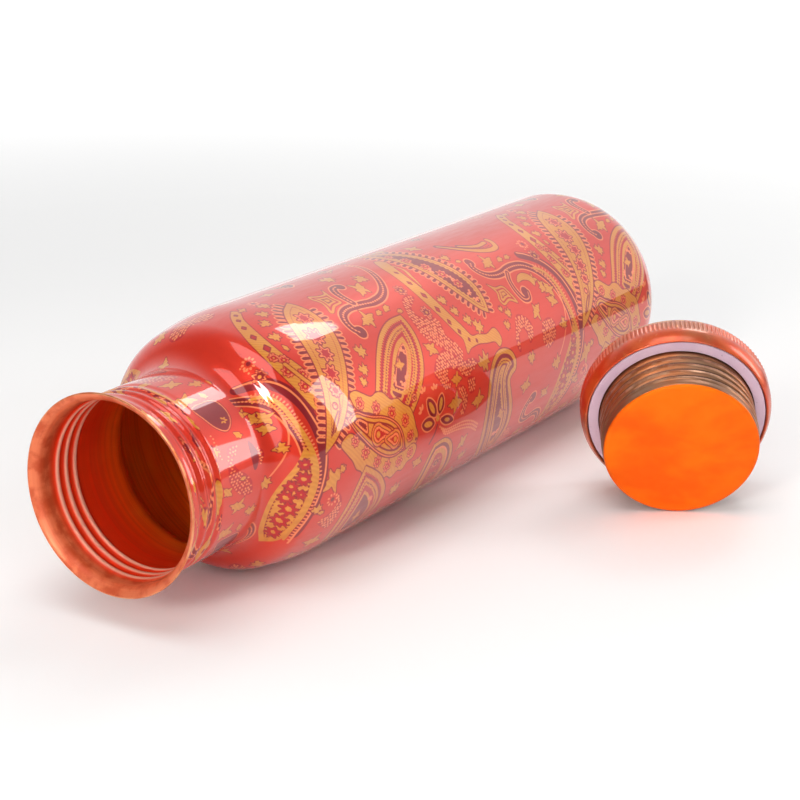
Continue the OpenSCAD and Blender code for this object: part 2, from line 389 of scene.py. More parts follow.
def draw_tile():
    p = Print(NX, NY)

    # scrolls first, the leaves lie over them
    scroll(p, [(54.3, 70.6), (52.6, 68.4), (52.7, 65.6), (54.6, 63.2), (58, 62), (62, 62), (66, 62.4), (70, 62.9), (75, 62.3),
               (79, 60.4), (82, 57.6), (84.6, 54), (86.6, 50), (87.8, 46), (87.6, 42)], 3.1, (2.4, 1.0), bulb=((54.5, 70.4), 2.1))
    scroll(p, [(62.9, 60.6), (62.4, 57.4), (62.9, 54.6), (64.6, 52.4), (66.8, 51.9)], 2.5, (2.2, 2.0), bulb=((67.6, 52.6), 1.7))
    scroll(p, [(125.4, 62.6), (124.0, 64.4), (124.7, 66.9), (127.2, 69), (131, 70), (135, 70.0), (139, 69.4), (143, 69.4), (147, 70.2),
               (150.6, 72.4), (153.8, 76), (156.3, 80.6), (158.0, 86), (159.3, 92), (159.9, 98)], 3.0, (2.2, 2.0), bulb=((125.2, 62.4), 1.8))
    scroll(p, [(137.0, 70.6), (134.9, 73.4), (134.5, 77), (136.2, 80.4), (139.2, 80.9), (140.3, 79.0)], 2.1, (1.6, 1.8), dash=False, bulb=((138.9, 78.6), 1.8))
    # the toothed gold stem that the long scroll ends in, and the line beside it
    stem = smooth([(6.3, 72.6), (9.6, 74.4), (12.2, 79), (13.6, 85), (14.9, 90), (16.3, 95.5), (17.2, 100.5), (17.0, 105.5), (16.0, 110.5), (14.8, 116), (13.6, 121), (13.2, 126)], n=8)
    p.stroke(smooth([(5, 66.5), (9.6, 69.2), (13.4, 73), (16.2, 78), (18.2, 84), (19.4, 90), (19.9, 96), (19.3, 103), (17.9, 110), (16.2, 117), (14.9, 123)], n=6), 3.4, MAROON)
    p.stroke(smooth([(5, 65.4), (8.4, 67.2), (12.6, 71), (15.6, 75.4), (17.6, 80.5), (19.0, 86), (20.3, 91.5)], n=6), 0.55, LIGHT)
    p.stroke(smooth([(20.9, 97.5), (20.0, 103), (18.6, 109), (16.8, 116), (15.4, 122), (15, 127)], n=6), 0.6, LIGHT)
    p.stroke(smooth([(9.7, 76), (11, 81), (11.5, 86.5), (10.6, 91.5), (8.6, 96), (5.5, 100.5), (2.4, 104)], n=6), 0.5, LIGHT)

    # the wide leaf with dark ornaments at the left
    P = leaf([(14.4, 93.8), (11.6, 98.6), (8.6, 103.2), (6.1, 108), (4.6, 113), (4.4, 119), (5.6, 126), (8.4, 132)],
             [(8.4, 132), (12.2, 127), (14.2, 120), (15.6, 112), (16.8, 105), (16.8, 99), (14.4, 93.8)])
    p.fill(P, GOLD)
    p.ring(P, 1.5, 30, MAROON)
    p.ring(P, 1.9, 30, GOLD, 0.3, 1.6, 0)
    for at, s, a, sh in [((13.9, 99.0), 1.7, 0, TULIP), ((13.4, 103.4), 2.1, 20, TULIP), ((10.2, 106.2), 2.0, -20, STAR), ((9.2, 110.4), 2.3, 30, TULIP),
                         ((13.0, 108.6), 1.5, 10, STAR), ((10.6, 114.4), 2.6, -15, STAR), ((9.4, 119.6), 2.5, 15, TULIP), ((9.6, 125.2), 2.2, 0, STAR)]:
        Q = smooth(place(sh, at, s, a), True, 4)
        p.fill(Q, MAROON, 0.45)
        p.fill(Q, CRIMSON, 0.1)
        p.fill(Q, GOLD, -0.55)
    p.stroke(stem, 1.5, GOLD, ends=(1.0, 0.8))
    for side in (1, -1):
        C, D = points_along(stem, 1.15)
        N = np.stack([-D[:, 1], D[:, 0]], 1) * side
        p.dots(C + N * 1.15, 0.24, GOLD if side > 0 else LIGHT, N, 2.3)

    # ribbon with diamonds, left
    P = leaf([(28, 44), (24.2, 46.8), (21, 50.8), (18.9, 55), (17.5, 59), (16.8, 64), (16.7, 69), (17.4, 74), (18.7, 79), (20.2, 83.6), (22.4, 88.6)],
             [(22.4, 88.6), (25.0, 83), (25.6, 79), (25.0, 75.2), (23.4, 71), (22.2, 67), (21.9, 63), (22.3, 58.6), (23.5, 54), (25.4, 50), (28.5, 46.4), (28, 44)])
    p.fill(P, MAROON, 0.35)
    p.fill(P, GOLD)
    for at, s in [((26.1, 47.0), 0.9), ((23.9, 49.6), 1.0), ((21.7, 53.2), 1.1), ((20.2, 57.8), 1.35), ((19.8, 63.2), 1.7)]:
        Q = place(DIAMOND, at, s, 18)
        p.fill(Q, MAROON, 0.15)
        p.fill(Q, CRIMSON, -0.3)
    for at, s, a in [((18.9, 66.6), 1.3, 0), ((21.0, 68.6), 1.4, 10), ((19.4, 72.2), 1.6, 0), ((23.3, 74.6), 1.3, 30), ((21.4, 78.0), 1.6, 0), ((23.2, 83.4), 1.3, 0)]:
        tulip(p, at, s, a)
    line = smooth([(20.3, 70), (21.2, 73), (22.6, 76.5), (24.6, 80)], n=6)
    p.stroke(line, 1.9, MAROON)
    p.stroke(line, 1.1, GOLD)

    # the long gold leaf
    left = [(20.4, 97.6), (22.1, 92.4), (24.0, 87.4), (26.1, 82), (27.7, 77), (29.2, 72), (30.6, 67), (32.2, 62.4), (34.6, 58), (38.2, 54.2), (43.9, 51.2)]
    right = [(43.9, 51.2), (45.3, 55), (45.7, 60), (45.0, 65.6), (43.0, 71), (40.2, 76), (37.0, 81), (33.6, 86), (29.4, 91), (25, 94.8), (20.4, 97.6)]
    P = leaf(left, right)
    fringe(p, smooth(left[::-1], n=7), 2.9, 1.95, 2, 51, 1)
    fringe(p, smooth(right, n=7), 2.6, 1.95, 6, 52, -1)
    slim_leaf(p, P, left, right, [((40.6, 59.4), 2.5, 30, STAR), ((37.0, 66.2), 3.0, 15, TULIP), ((35.2, 72.2), 2.5, 70, STAR), ((32.4, 77.8), 2.6, 10, STAR),
                                  ((30.6, 82.4), 1.7, 30, TULIP)])
    p.dots([(28.1, 86.2)], 1.15, MAROON)
    p.dots([(28.1, 86.2)], 0.7, LIGHT)
    p.dots([(28.4, 85.9)], 0.35, CRIMSON)
    p.stroke(smooth([(24.2, 93.0), (26.2, 89.8), (28.4, 87.8)], n=6), 0.6, MAROON)
    p.stroke(smooth([(25.2, 92.8), (27.4, 90.2), (29.6, 87.2), (30.6, 84.6)], n=6), 0.5, MAROON)

    # the toothed boteh of the flower group
    P = leaf([(45.6, 88.8), (48.8, 84.4), (52.2, 80.2), (56, 76.6), (60.2, 73.6), (65, 71.4), (69.6, 70.3), (75.1, 70.2)],
             [(75.1, 70.2), (75.4, 74.4), (74.9, 79), (73.4, 83.6), (71, 88), (67.4, 92.2), (63.6, 95.6), (58, 99), (50, 96), (45.6, 88.8)])
    toothed(p, P)
    heart = leaf([(53.6, 88.6), (57, 84), (61, 80), (65.4, 77.2), (69.4, 76.2)], [(69.4, 76.2), (69.2, 80.4), (66.8, 84.6), (63.4, 88.6), (60, 91.6), (53.6, 88.6)])
    p.ring(heart, 0.0, 0.9, GOLD, 0.3, 1.3, 1)
    p.ring(heart, 1.6, 1.95, LIGHT)
    splash(p, (61.6, 83.2), 2.1, 20)
    for at, a in [((57.4, 86.6), 200), ((60.2, 88.0), 120), ((65.4, 80.4), -40), ((62.6, 86.4), 60)]:
        sprig(p, at, 1.5, a, 4, LIGHT, 50)

    # the jagged gold cups under it
    up = smooth([(35.2, 85.2), (38, 84.8), (40.6, 86.3), (43.6, 88.0), (46.6, 87.6), (49.4, 88.4), (52, 91), (55.2, 91.6), (57.6, 93.8), (60.4, 95.6),
                 (61.8, 98.6), (62.6, 101.6), (63.9, 104.6), (62.4, 107.2), (58.6, 107.4), (56.9, 104), (55.4, 100.5), (52.8, 97.4), (49, 95.2), (45, 93.6), (41.4, 91.8), (38.2, 90.6), (35.6, 88.6)], True, 5)
    low = smooth([(26.7, 97.2), (28.2, 95.6), (31, 94.9), (34, 97), (37, 99.6), (40, 102), (44, 104), (48, 105.9), (53, 107.2), (57, 107.3), (61.4, 106.4), (63.7, 108),
                  (62.8, 110.8), (60, 111.4), (58, 113.4), (55.4, 112.8), (52.6, 114.2), (50, 112.8), (47, 113), (44.6, 111.6), (42, 111.6), (40, 109.4), (37.2, 109), (35.2, 106.6), (32.8, 105.2), (31, 102.4), (29.2, 100.4)], True, 5)
    for Q in (up, low):
        p.fill(Q, MAROON, 0.4)
        p.fill(Q, GOLD)
    for at, s, a in [((38.1, 88.4), 1.5, 0), ((44.6, 91.4), 1.6, -20), ((51.3, 94.6), 1.6, 20), ((57.4, 98.4), 1.6, 30), ((59.8, 103.6), 1.5, 0)]:
        tulip(p, at, s, a)
    for at, s, a in [((32.6, 97.4), 1.4, 60), ((37.0, 101.8), 1.7, 60), ((43.2, 106.3), 1.7, 70), ((48.8, 109.4), 1.7, 80), ((55.2, 110.0), 1.5, 90), ((60.6, 108.8), 1.3, 90)]:
        tulip(p, at, s, a, CRIMSON, True, STAR)
    p.dots([(63.0, 105.4)], 0.55, MAROON)

    # the lower boteh of the group
    P = leaf([(31.6, 91.2), (35.2, 90.3), (38.6, 91.9), (42.2, 93.4), (46.2, 94.5), (50.2, 96.3), (53.6, 99), (55.7, 102.4), (56.4, 105.9)],
             [(56.4, 105.9), (53, 106.9), (49, 106.3), (45, 104.5), (41, 101.8), (37, 98.2), (33.6, 94.6), (31.6, 91.2)])
    p.fill(P, MAROON, 0.75)
    p.fill(P, LIGHT, 0.3)
    p.fill(P, MAROON, 0.0)
    p.ring(P, 0.4, 1.2, GOLD)
    p.ring(P, 1.5, 9, MAROON)
    p.ring(P, 1.8, 9, GOLD)
    bud(p, (43.6, 98.6), 2.7, 12, 6.5)
    bud(p, (51.9, 102.2), 2.3, 195, 5.0)
    Q = leaf([(33.4, 92.4), (36, 92.0), (39.4, 94)], [(39.4, 94), (38.6, 97.0), (36, 95.2), (33.4, 92.4)])
    p.fill(Q, MAROON, 0.3)
    p.ring(Q, 0.2, 0.75, LIGHT, 0.25, 0.9, 1)

    # striped feather, the tip of a boteh that runs on below
    P = leaf([(37.4, 105.8), (34.4, 110.4), (32.4, 116), (31.2, 122), (31.6, 129), (34.6, 136), (40, 141)],
             [(40, 141), (47, 138), (52, 131), (53.6, 124), (51.6, 117.6), (47, 112), (42.4, 108.6), (37.4, 105.8)])
    toothed(p, P)
    splash(p, (42.4, 124.4), 2.4, 100)
    sprig(p, (41.6, 130.2), 2.0, 90, 5, LIGHT, 40)
    sprig(p, (44.6, 119.4), 1.8, -60, 4, LIGHT, 45)

    # second long leaf
    left = [(97.6, 31), (98.8, 38), (100.2, 46), (101.6, 53), (102.9, 59), (104.4, 65), (106.2, 70), (108.9, 74.6), (111.8, 78.0), (114.8, 79.9)]
    right = [(114.8, 79.9), (116.6, 75), (117.2, 69.6), (116.2, 64), (114.3, 58.6), (111.8, 53.2), (108.4, 47), (104.6, 40.6), (101, 35), (97.6, 31)]
    P = leaf(left, right)
    fringe(p, smooth(left, n=7), 2.3, 2.0, 10, 52, 1)
    fringe(p, smooth(right, n=7), 2.3, 2.0, 0, 48, 1)
    p.fill(P, MAROON, 0.42)
    p.fill(P, GOLD)
    p.ring(P, 1.1, 1.4, MAROON)
    p.ring(P, 2.2, 30, MAROON, 0.3, 1.7, 0)
    for at, s, a, sh in [((106.6, 57.6), 1.7, 0, STAR), ((108.6, 62.6), 1.9, 30, STAR), ((110.6, 67.6), 1.8, 10, TULIP), ((104.6, 51.8), 1.6, 20, TULIP), ((103.2, 46.4), 1.3, 0, STAR)]:
        tulip(p, at, s, a, CRIMSON, True, sh)
    for at, a in [((111.6, 71.4), 60), ((113.0, 74.0), 100), ((106.8, 60), 200), ((109.6, 65), 0)]:
        sprig(p, at, 1.6, a, 4, LIGHT, 48)

    # ribbon with diamonds, right
    P = smooth([(95.6, 46.2), (92.2, 50.6), (90.5, 56), (89.6, 61), (89.3, 66), (89.9, 71), (91.5, 76), (93.8, 81), (96.0, 84.2), (95.6, 88.4), (98.2, 87.4), (103, 87.2), (107.4, 88.0), (111.6, 88.6), (113.6, 90.6), (115.6, 88.6),
                (113.6, 84.8), (108.6, 85.6), (104.4, 84.6), (100.8, 84.2), (98.4, 80.6), (96.0, 76), (94.6, 71), (94.1, 66), (94.0, 60.4), (95.2, 54.6), (97.6, 49)], True, 4)
    p.fill(P, MAROON, 0.35)
    p.fill(P, GOLD)
    for at, s in [((93.2, 55.6), 0.9), ((92.0, 61.4), 1.1), ((91.9, 67.2), 1.35), ((92.3, 73.0), 1.3), ((93.6, 77.8), 1.1), ((95.8, 81.6), 1.0), ((98.8, 84.9), 0.8), ((102.4, 86.1), 0.75)]:
        Q = place(DIAMOND, at, s, -12)
        p.fill(Q, MAROON, 0.15)
        p.fill(Q, CRIMSON, -0.3)
    splash(p, (106.2, 82.4), 2.5, 30, SPLASH2)
    splash(p, (102.6, 79.4), 2.0, 0, SPLASH2)
    line = smooth([(96.4, 51.4), (97.4, 55.4), (96.0, 59.2), (94.8, 64)], n=6)
    p.stroke(line, 1.7, MAROON, ends=(0.6, 0.9))
    p.stroke(line, 1.1, GOLD, ends=(0.3, 0.4))

    # framed leaf at the top
    Q = np.array([(60.7, 51.1), (58.8, 53.2), (55.6, 53.0), (53.0, 51.8), (52.1, 53.6), (52.9, 56), (52.4, 58.4), (51.1, 61), (52.3, 61.5), (55.6, 59.6), (59.6, 59.0), (59.3, 55.8)])
    P = smooth(Q, True, 4)
    p.fill(P, MAROON, 0.3)
    p.fill(P, GOLD)
    p.ring(P, 0.75, 1.35, CRIMSON)
    p.ring(P, 2.0, 2.5, MAROON)
    # framed leaf at the right
    P = smooth([(122.7, 71.6), (125.4, 73.6), (129.4, 74.0), (130.9, 76.6), (132.2, 80.8), (128.6, 79.2), (124.6, 79.9), (123.3, 77.6), (124.5, 75.2)], True, 4)
    p.fill(P, MAROON, 0.3)
    p.fill(P, GOLD)
    p.ring(P, 0.7, 1.25, CRIMSON)
    p.ring(P, 1.9, 2.3, MAROON)

    # gold splashes and drops
    for at, s, a, sh in [((61.2, 67.4), 3.5, -5, SPLASH), ((72.2, 56.6), 3.6, -35, SPLASH), ((78.6, 52.4), 2.6, -40, SPLASH2), ((79.0, 82.6), 2.9, 50, SPLASH),
                         ((48.8, 75.4), 2.3, 20, SPLASH2), ((45.6, 80.4), 2.0, 0, SPLASH2), ((43.2, 83.4), 1.6, 40, SPLASH2), ((25.2, 61.2), 1.9, 10, SPLASH2), ((27.8, 55.6), 1.9, -30, SPLASH2),
                         ((31.6, 51.8), 2.0, 20, SPLASH2), ((36.8, 48.4), 2.1, 0, SPLASH2), ((30.0, 46.0), 1.6, 0, SPLASH), ((23.6, 105.8), 4.2, 155, SPLASH), ((26.8, 103.4), 1.3, 40, SPLASH2),
                         ((86.4, 93.8), 2.7, 20, SPLASH), ((84.4, 100.4), 3.6, 15, SPLASH), ((103.0, 92.8), 3.3, -15, SPLASH2), ((97.6, 103.0), 3.2, 10, SPLASH),
                         ((132.6, 64.6), 3.4, -10, SPLASH), ((146.6, 75.6), 2.4, 30, SPLASH), ((149.6, 79.4), 2.4, 60, SPLASH2), ((151.4, 84.2), 2.8, 40, SPLASH), ((140.2, 85.6), 3.0, 160, SPLASH),
                         ((97.4, 70.8), 1.9, 0, SPLASH2), ((99.2, 75.4), 1.8, 0, SPLASH2), ((124.4, 82.4), 1.7, 0, SPLASH2), ((121.2, 85.6), 1.7, 20, SPLASH2), ((121.5, 80.4), 1.1, 0, SPLASH2),
                         ((152.6, 92.6), 1.6, 0, DROP), ((19.0, 114.0), 1.9, -20, SPLASH2), ((21.0, 115.6), 1.2, 0, DROP), ((67.8, 67.0), 1.6, -20, DROP), ((72.2, 66.6), 1.9, -30, DROP),
                         ((139.6, 65.4), 1.7, -20, DROP), ((143.8, 65.6), 1.6, -10, DROP), ((76.4, 69.0), 1.3, 0, DROP), ((118.8, 57.0), 1.8, 0, SPLASH2), ((121.6, 60.4), 1.3, 0, DROP),
                         ((7.2, 80.6), 2.9, 80, SPLASH), ((8.8, 92.6), 2.0, 60, SPLASH2), ((66.4, 113.6), 2.6, 30, SPLASH), ((92.6, 115.6), 2.8, -40, SPLASH), ((58.6, 120.6), 2.6, 10, SPLASH2),
                         ((97.6, 122.4), 2.2, 0, SPLASH2), ((24.4, 127.6), 3.2, 20, SPLASH), ((61.6, 132.0), 3.4, 60, SPLASH), ((127.6, 106.4), 3.0, 20, SPLASH), ((147.6, 104.0), 2.7, -20, SPLASH2),
                         ((131.0, 98.4), 2.2, 0, SPLASH2), ((78.0, 40.6), 2.8, 15, SPLASH), ((70.0, 46.6), 2.6, 0, SPLASH2), ((116.4, 46.4), 2.8, 70, SPLASH), ((24.6, 65.8), 1.3, 80, DROP)]:
        splash(p, at, s, a, sh)
    P = smooth([(138.2, 75.0), (140.4, 73.0), (143.6, 72.6), (146.4, 74.0), (147.4, 76.2), (145.8, 78.0), (144.6, 75.8), (141.6, 74.8)], True, 4)
    p.fill(P, MAROON, 0.3)
    p.fill(P, GOLD)

    # clouds of small loops
    dash_cloud(p, [(84, 65.0), (87.2, 66.4), (84.6, 68), (81.8, 69.5), (81.6, 72), (84, 73.8), (87.4, 74.4), (89.2, 77), (88.6, 80.6), (91, 83.6), (93.2, 87), (91.4, 89.4), (87, 86.4), (83, 83), (79.4, 80), (77.9, 76), (78.3, 71), (80.4, 67)], seed=2)
    dash_cloud(p, [(76, 89.8), (79, 86.3), (84, 84.6), (88.5, 87), (92.5, 90), (97, 90.3), (99.4, 92), (94.5, 94.2), (91, 94.5), (88.5, 92), (84, 90.2), (82.4, 92), (83.6, 95), (80, 95.4), (77.8, 92.5)], seed=3)
    dash_cloud(p, [(128, 84.2), (132, 85.4), (134.6, 88.4), (134, 92), (131.4, 93.8), (130.8, 90.6), (128.8, 88.4), (126, 90.4), (125, 95), (123.4, 93), (124.8, 88)], seed=4)
    dash_cloud(p, [(86.6, 96.4), (90.2, 97), (91.6, 101), (90, 105), (87.6, 104.4), (88.6, 100.6)], seed=5)
    dash_cloud(p, [(92.4, 95.4), (96.4, 96), (95.4, 99.6), (92.6, 99.4)], seed=6)
    dash_cloud(p, [(26, 110.6), (28.2, 113), (29, 118), (27.6, 122.6), (24, 121.4), (21.4, 119), (24.2, 117.2), (26.4, 115)], seed=7)
    dash_cloud(p, [(141, 90), (145.6, 89), (148.6, 91.6), (147.2, 96), (142.6, 98), (139.6, 95)], seed=8)
    rosette(p, (24.2, 112.0), 1.7)
    rosette(p, (12.6, 63.2), 1.7, 10)
    rosette(p, (36.6, 45.0), 1.4, 8)
    sprig(p, (11.6, 67.6), 2.0, 100, 3)
    for at, s, a in [((85.2, 62.6), 2.0, 20), ((86.6, 72.4), 1.9, -10), ((12.2, 68.6), 2.0, 15), ((63.4, 93.4), 0.9, 0)]:
        tulip(p, at, s, a, MAROON)
    C = np.array([(10.2, 62.2), (10.5, 63.8), (10.8, 65.4), (11.0, 67.0), (82.0, 58.8)])
    p.dots(C[:4], 0.32, LIGHT)

    # the pointed flower with its sprigs and trailing rows
    for at, tip, w in [((73.6, 101.6), (69.7, 95.6), 1.9), ((75.4, 101.4), (77.7, 96.0), 1.7), ((73.0, 103.6), (66.0, 102.2), 1.9), ((76.2, 103.2), (83.6, 105.4), 1.3)]:
        a, b = np.array(at), np.array(tip)
        u = (b - a) / np.hypot(*(b - a))
        n = np.array([-u[1], u[0]])
        P = smooth([a, a + (b - a) * 0.35 + n * w, a + (b - a) * 0.75 + n * w * 0.85, b, a + (b - a) * 0.75 - n * w * 0.85, a + (b - a) * 0.35 - n * w], True, 5)
        p.fill(P, LIGHT, 0.42)
        p.fill(P, MAROON, 0.0)
        p.dots([a + (b - a) * 0.5], w * 0.46, GOLD, [u], 2.6)
    p.dots([(74.6, 102.4)], 1.0, GOLD)
    for at, a in [((68.5, 93.6), -100), ((74.3, 94.2), -90), ((66.6, 98.4), -130)]:
        sprig(p, at, 2.2, a, 3, LIGHT, 48)
    for k, off in enumerate((0, 1.1, 2.2)):
        L = smooth([(75.6 + off, 105.2 + off * 0.8), (80, 107.4 + off * 0.7), (85, 107.6 + off * 0.8), (90, 107.8 + off), (95, 109.0 + off), (100, 111.6 + off)], n=6)
        C, D = points_along(L, 1.25)
        p.dots(C, 0.33, LIGHT, D, 1.6)
    p.stroke(smooth([(74.6, 104.4), (73.4, 107), (71.2, 109.4)], n=5), 0.7, MAROON)

    # nested curve at the right and its inner field
    P = smooth([(120.6, 99.4), (121.2, 96.6), (119.4, 93.6), (116, 91.9), (112, 91.7), (108.2, 93.6), (105.4, 97.2), (103.9, 102), (103.6, 108), (104.6, 114), (107, 120), (110.4, 126), (115, 131.4), (120.4, 134.6),
                (123.6, 129), (123.8, 121), (121.4, 113), (118.4, 106.6), (117.0, 102.4), (118.2, 100.6)], True, 6)
    p.fill(P, MAROON, 0.42)
    p.fill(P, GOLD)
    p.ring(P, 1.5, 2.9, MAROON, 0.25, 1.1, 1)
    p.ring(P, 2.9, 4.3, GOLD)
    p.ring(P, 3.4, 3.75, MAROON)
    p.ring(P, 4.4, 30, MAROON)
    p.ring(P, 5.0, 6.0, GOLD, 0.3, 1.1, 1)
    splash(p, (114.0, 112.0), 2.2, 70)
    sprig(p, (115.6, 119.0), 2.2, 80, 5, LIGHT, 40)
    splash(p, (118.0, 124.4), 2.0, 60, SPLASH2)

    # boteh below the flower
    P = leaf([(74.6, 110.6), (72.8, 115), (72.6, 121), (74.4, 128), (78.4, 134.4), (84, 139)], [(84, 139), (89.6, 134), (91, 127), (89, 119.6), (85.6, 113.6), (80.6, 110.4), (74.6, 110.6)])
    p.fill(P, MAROON, 0.42)
    p.fill(P, GOLD)
    p.ring(P, 1.2, 2.4, MAROON)
    p.ring(P, 2.4, 3.0, LIGHT, 0.3, 1.2, 1)
    p.ring(P, 3.6, 30, GOLD, 0.3, 1.4, 0)
    p.ring(P, 4.6, 30, CRIMSON, 0.3, 1.4, 0)
    tulip(p, (80.0, 118.6), 1.9, 0, MAROON)
    tulip(p, (82.6, 125.0), 2.2, 15, MAROON, True, STAR)
    splash(p, (84.0, 131.0), 1.8, 60)

    # two gold lines that end in a hook at the top right
    for L, w in [([(124.4, 50.6), (128, 54.2), (132, 57.2), (136.4, 59.5), (141.2, 60.7), (145.0, 60.2), (146.4, 57.6), (146.0, 56.2)], 1.7), ([(131.2, 54.2), (135, 56.2), (139, 57.2), (143.2, 56.8)], 1.3)]:
        L = smooth(L, n=7)
        p.stroke(L, w + 0.8, MAROON)
        p.stroke(L, w, GOLD, ends=(0.7, w))
    L = smooth([(128.6, 53), (132, 55.8), (136.4, 58.0), (141.2, 58.9), (143.6, 58.6)], n=7)
    C, D = points_along(L, 1.1)
    p.dots(C, 0.28, MAROON, D, 1.4)

    # the part of the print that lies behind and below
    scroll(p, [(134, 112), (131.6, 115.6), (132.8, 119.6), (136.6, 121.4), (141, 120.4), (145, 121.6), (148.4, 125.6), (149.8, 131), (148.6, 137)], 2.8, (2.2, 1.0), bulb=((135.0, 112.6), 1.9))
    scroll(p, [(64.6, 139.4), (60, 142.6), (55.4, 147), (54.2, 152.6), (57.6, 157)], 2.6, (1.0, 2.0), bulb=((58.4, 155.6), 1.7))
    left = [(97, 127.5), (95.6, 133), (95.8, 139), (98.4, 145), (102.6, 149.4)]
    right = [(102.6, 149.4), (105.2, 144), (105.0, 137), (101.8, 131.6), (97, 127.5)]
    P = leaf(left, right)
    fringe(p, smooth(left, n=7), 2.2, 2.0, 1, 20, 1)
    fringe(p, smooth(right, n=7), 2.2, 2.0, 1, 20, 1)
    slim_leaf(p, P, left, right, [((99.4, 134.6), 1.9, 0, STAR), ((101.2, 141), 2.0, 20, TULIP)])
    for at, s, a, sh in [((28.4, 135.6), 2.6, 0, SPLASH2), ((22.4, 134.8), 2.8, 60, SPLASH), ((70.4, 146.0), 3.0, 30, SPLASH), ((92.6, 143.4), 2.4, 0, SPLASH2), ((112.4, 141.6), 3.0, -30, SPLASH), ((127.4, 139.2), 3.2, 20, SPLASH),
                         ((138.6, 128.4), 2.8, 0, SPLASH2), ((142.6, 112.8), 2.6, 40, SPLASH), ((119.4, 147.4), 2.4, 0, SPLASH2), ((83.6, 147.6), 2.8, 60, SPLASH), ((48.6, 146.4), 2.6, 0, SPLASH2), ((36.4, 149.6), 2.6, 30, SPLASH),
                         ((135.4, 149.6), 2.6, 0, SPLASH2), ((4.8, 146.4), 3.0, 0, SPLASH), ((15.4, 141.6), 2.6, 30, SPLASH2), ((46.4, 157.0), 2.2, 30, SPLASH), ((107.6, 154.6), 2.4, 10, SPLASH2)]:
        splash(p, at, s, a, sh)
    dash_cloud(p, [(125, 121), (129.6, 123.4), (130.4, 129), (127.6, 133.4), (125, 129), (123.8, 125)], seed=11)
    dash_cloud(p, [(12.6, 147), (18, 146), (23, 149), (25.6, 154), (22, 156.4), (18.4, 153), (13.4, 151.6)], seed=12)
    dash_cloud(p, [(141, 141), (146.4, 142.6), (148.6, 147.6), (144.6, 151), (141, 147)], seed=13)
    for at, s, a in [((31.6, 143.4), 2.2, 20), ((90.4, 152.6), 2.2, -10), ((77.6, 154.4), 2.0, 0), ((128.4, 155.0), 2.2, 0), ((142.0, 134.6), 2.0, 10), ((68.6, 134.6), 2.0, 10)]:
        tulip(p, at, s, a, MAROON)
    return p


def draw_neck():
    """The stretch of print on the neck, from the lip to the hollow curve."""
    p = Print(int(round(40 / CX)), NY, -32.0)
    for shift in (0.0, 57.3):
        P = smooth([(-12.2, 66.2 + shift), (-8, 65.4 + shift), (-3.8, 66.2 + shift), (-2.6, 71 + shift), (-3.4, 76 + shift), (-6.4, 79 + shift), (-9.4, 76.6 + shift), (-11.2, 72 + shift)], True, 6)
        p.fill(P, MAROON, 0.7)
        p.fill(P, LIGHT, 0.35)
        p.fill(P, MAROON, -0.05)
        sprig(p, (-5.6, 75.0 + shift), 1.5, 20, 5, GOLD, 62)
        splash(p, (-12.0, 61.2 + shift), 4.2, 35, SPLASH)
        splash(p, (-5.0, 62.4 + shift), 2.0, 75, DROP)
        splash(p, (-3.6, 82.2 + shift), 2.0, 50, DROP)
        splash(p, (-8.6, 108.0 + shift), 3.4, 40, SPLASH)
        splash(p, (-14.4, 84.6 + shift), 2.2, 70, SPLASH2)
        splash(p, (-2.4, 113.0 + shift), 2.4, 0, SPLASH2)
        splash(p, (-13.2, 100.4 + shift), 2.6, 60, SPLASH)
        dash_cloud(p, [(-9, 85 + shift), (-5.8, 85.4 + shift), (-6.4, 88 + shift), (-8.8, 90 + shift), (-8, 94 + shift), (-5, 97 + shift), (-2.8, 101 + shift), (-3.4, 105.4 + shift), (-8, 103.4 + shift), (-11.8, 98 + shift), (-11.2, 92 + shift), (-10.2, 87 + shift)], pitch=1.35, seed=21)
        C = np.array([(-13.0 + 0.3 * (k % 2), 78.6 + 1.35 * k + shift) for k in range(8)])
        p.dots(C, 0.34, LIGHT)
        splash(p, (-6.3, 98.2 + shift), 1.3, 0, DROP)
        P = smooth([(1.5, 92 + shift), (-1, 86 + shift), (-1.2, 97 + shift)], True, 5)
        p.fill(P, MAROON, 0.2)
    return p


TILE, NECK = draw_tile(), draw_neck()


def ink_at(x, y):
    """Bilinear reading of the four inks of the main print at any place."""
    fx, fy = (x / CX) % NX, (y / CY) % NY
    ix, iy = np.floor(fx).astype(int), np.floor(fy).astype(int)
    ax, ay = (fx - ix)[None], (fy - iy)[None]
    f = TILE.f
    a, b = f[:, iy % NY, ix % NX], f[:, iy % NY, (ix + 1) % NX]
    c, d = f[:, (iy + 1) % NY, ix % NX], f[:, (iy + 1) % NY, (ix + 1) % NX]
    return (a * (1 - ax) + b * ax) * (1 - ay) + (c * (1 - ax) + d * ax) * ay


def ink_neck(x, y):
    fx = np.clip((x + 32.0) / CX, 0, NECK.nx - 1.001)
    fy = (y / CY) % NY
    ix, iy = np.floor(fx).astype(int), np.floor(fy).astype(int)
    ax, ay = (fx - ix)[None], (fy - iy)[None]
    f = NECK.f
    a, b = f[:, iy % NY, ix], f[:, iy % NY, ix + 1]
    c, d = f[:, (iy + 1) % NY, ix], f[:, (iy + 1) % NY, ix + 1]
    return (a * (1 - ax) + b * ax) * (1 - ay) + (c * (1 - ax) + d * ax) * ay


# ---------------------------------------------------------------- meshes
def on_bottle(s, r, th):
    """Point at distance s from the lip, radius r, angle th from the top towards -Y, in metres."""
    s, r, th = np.broadcast_arrays(s, r, th)
    return np.stack([X0 + s, Y0 - r * np.sin(th), Z0 + r * np.cos(th)], -1) * MM


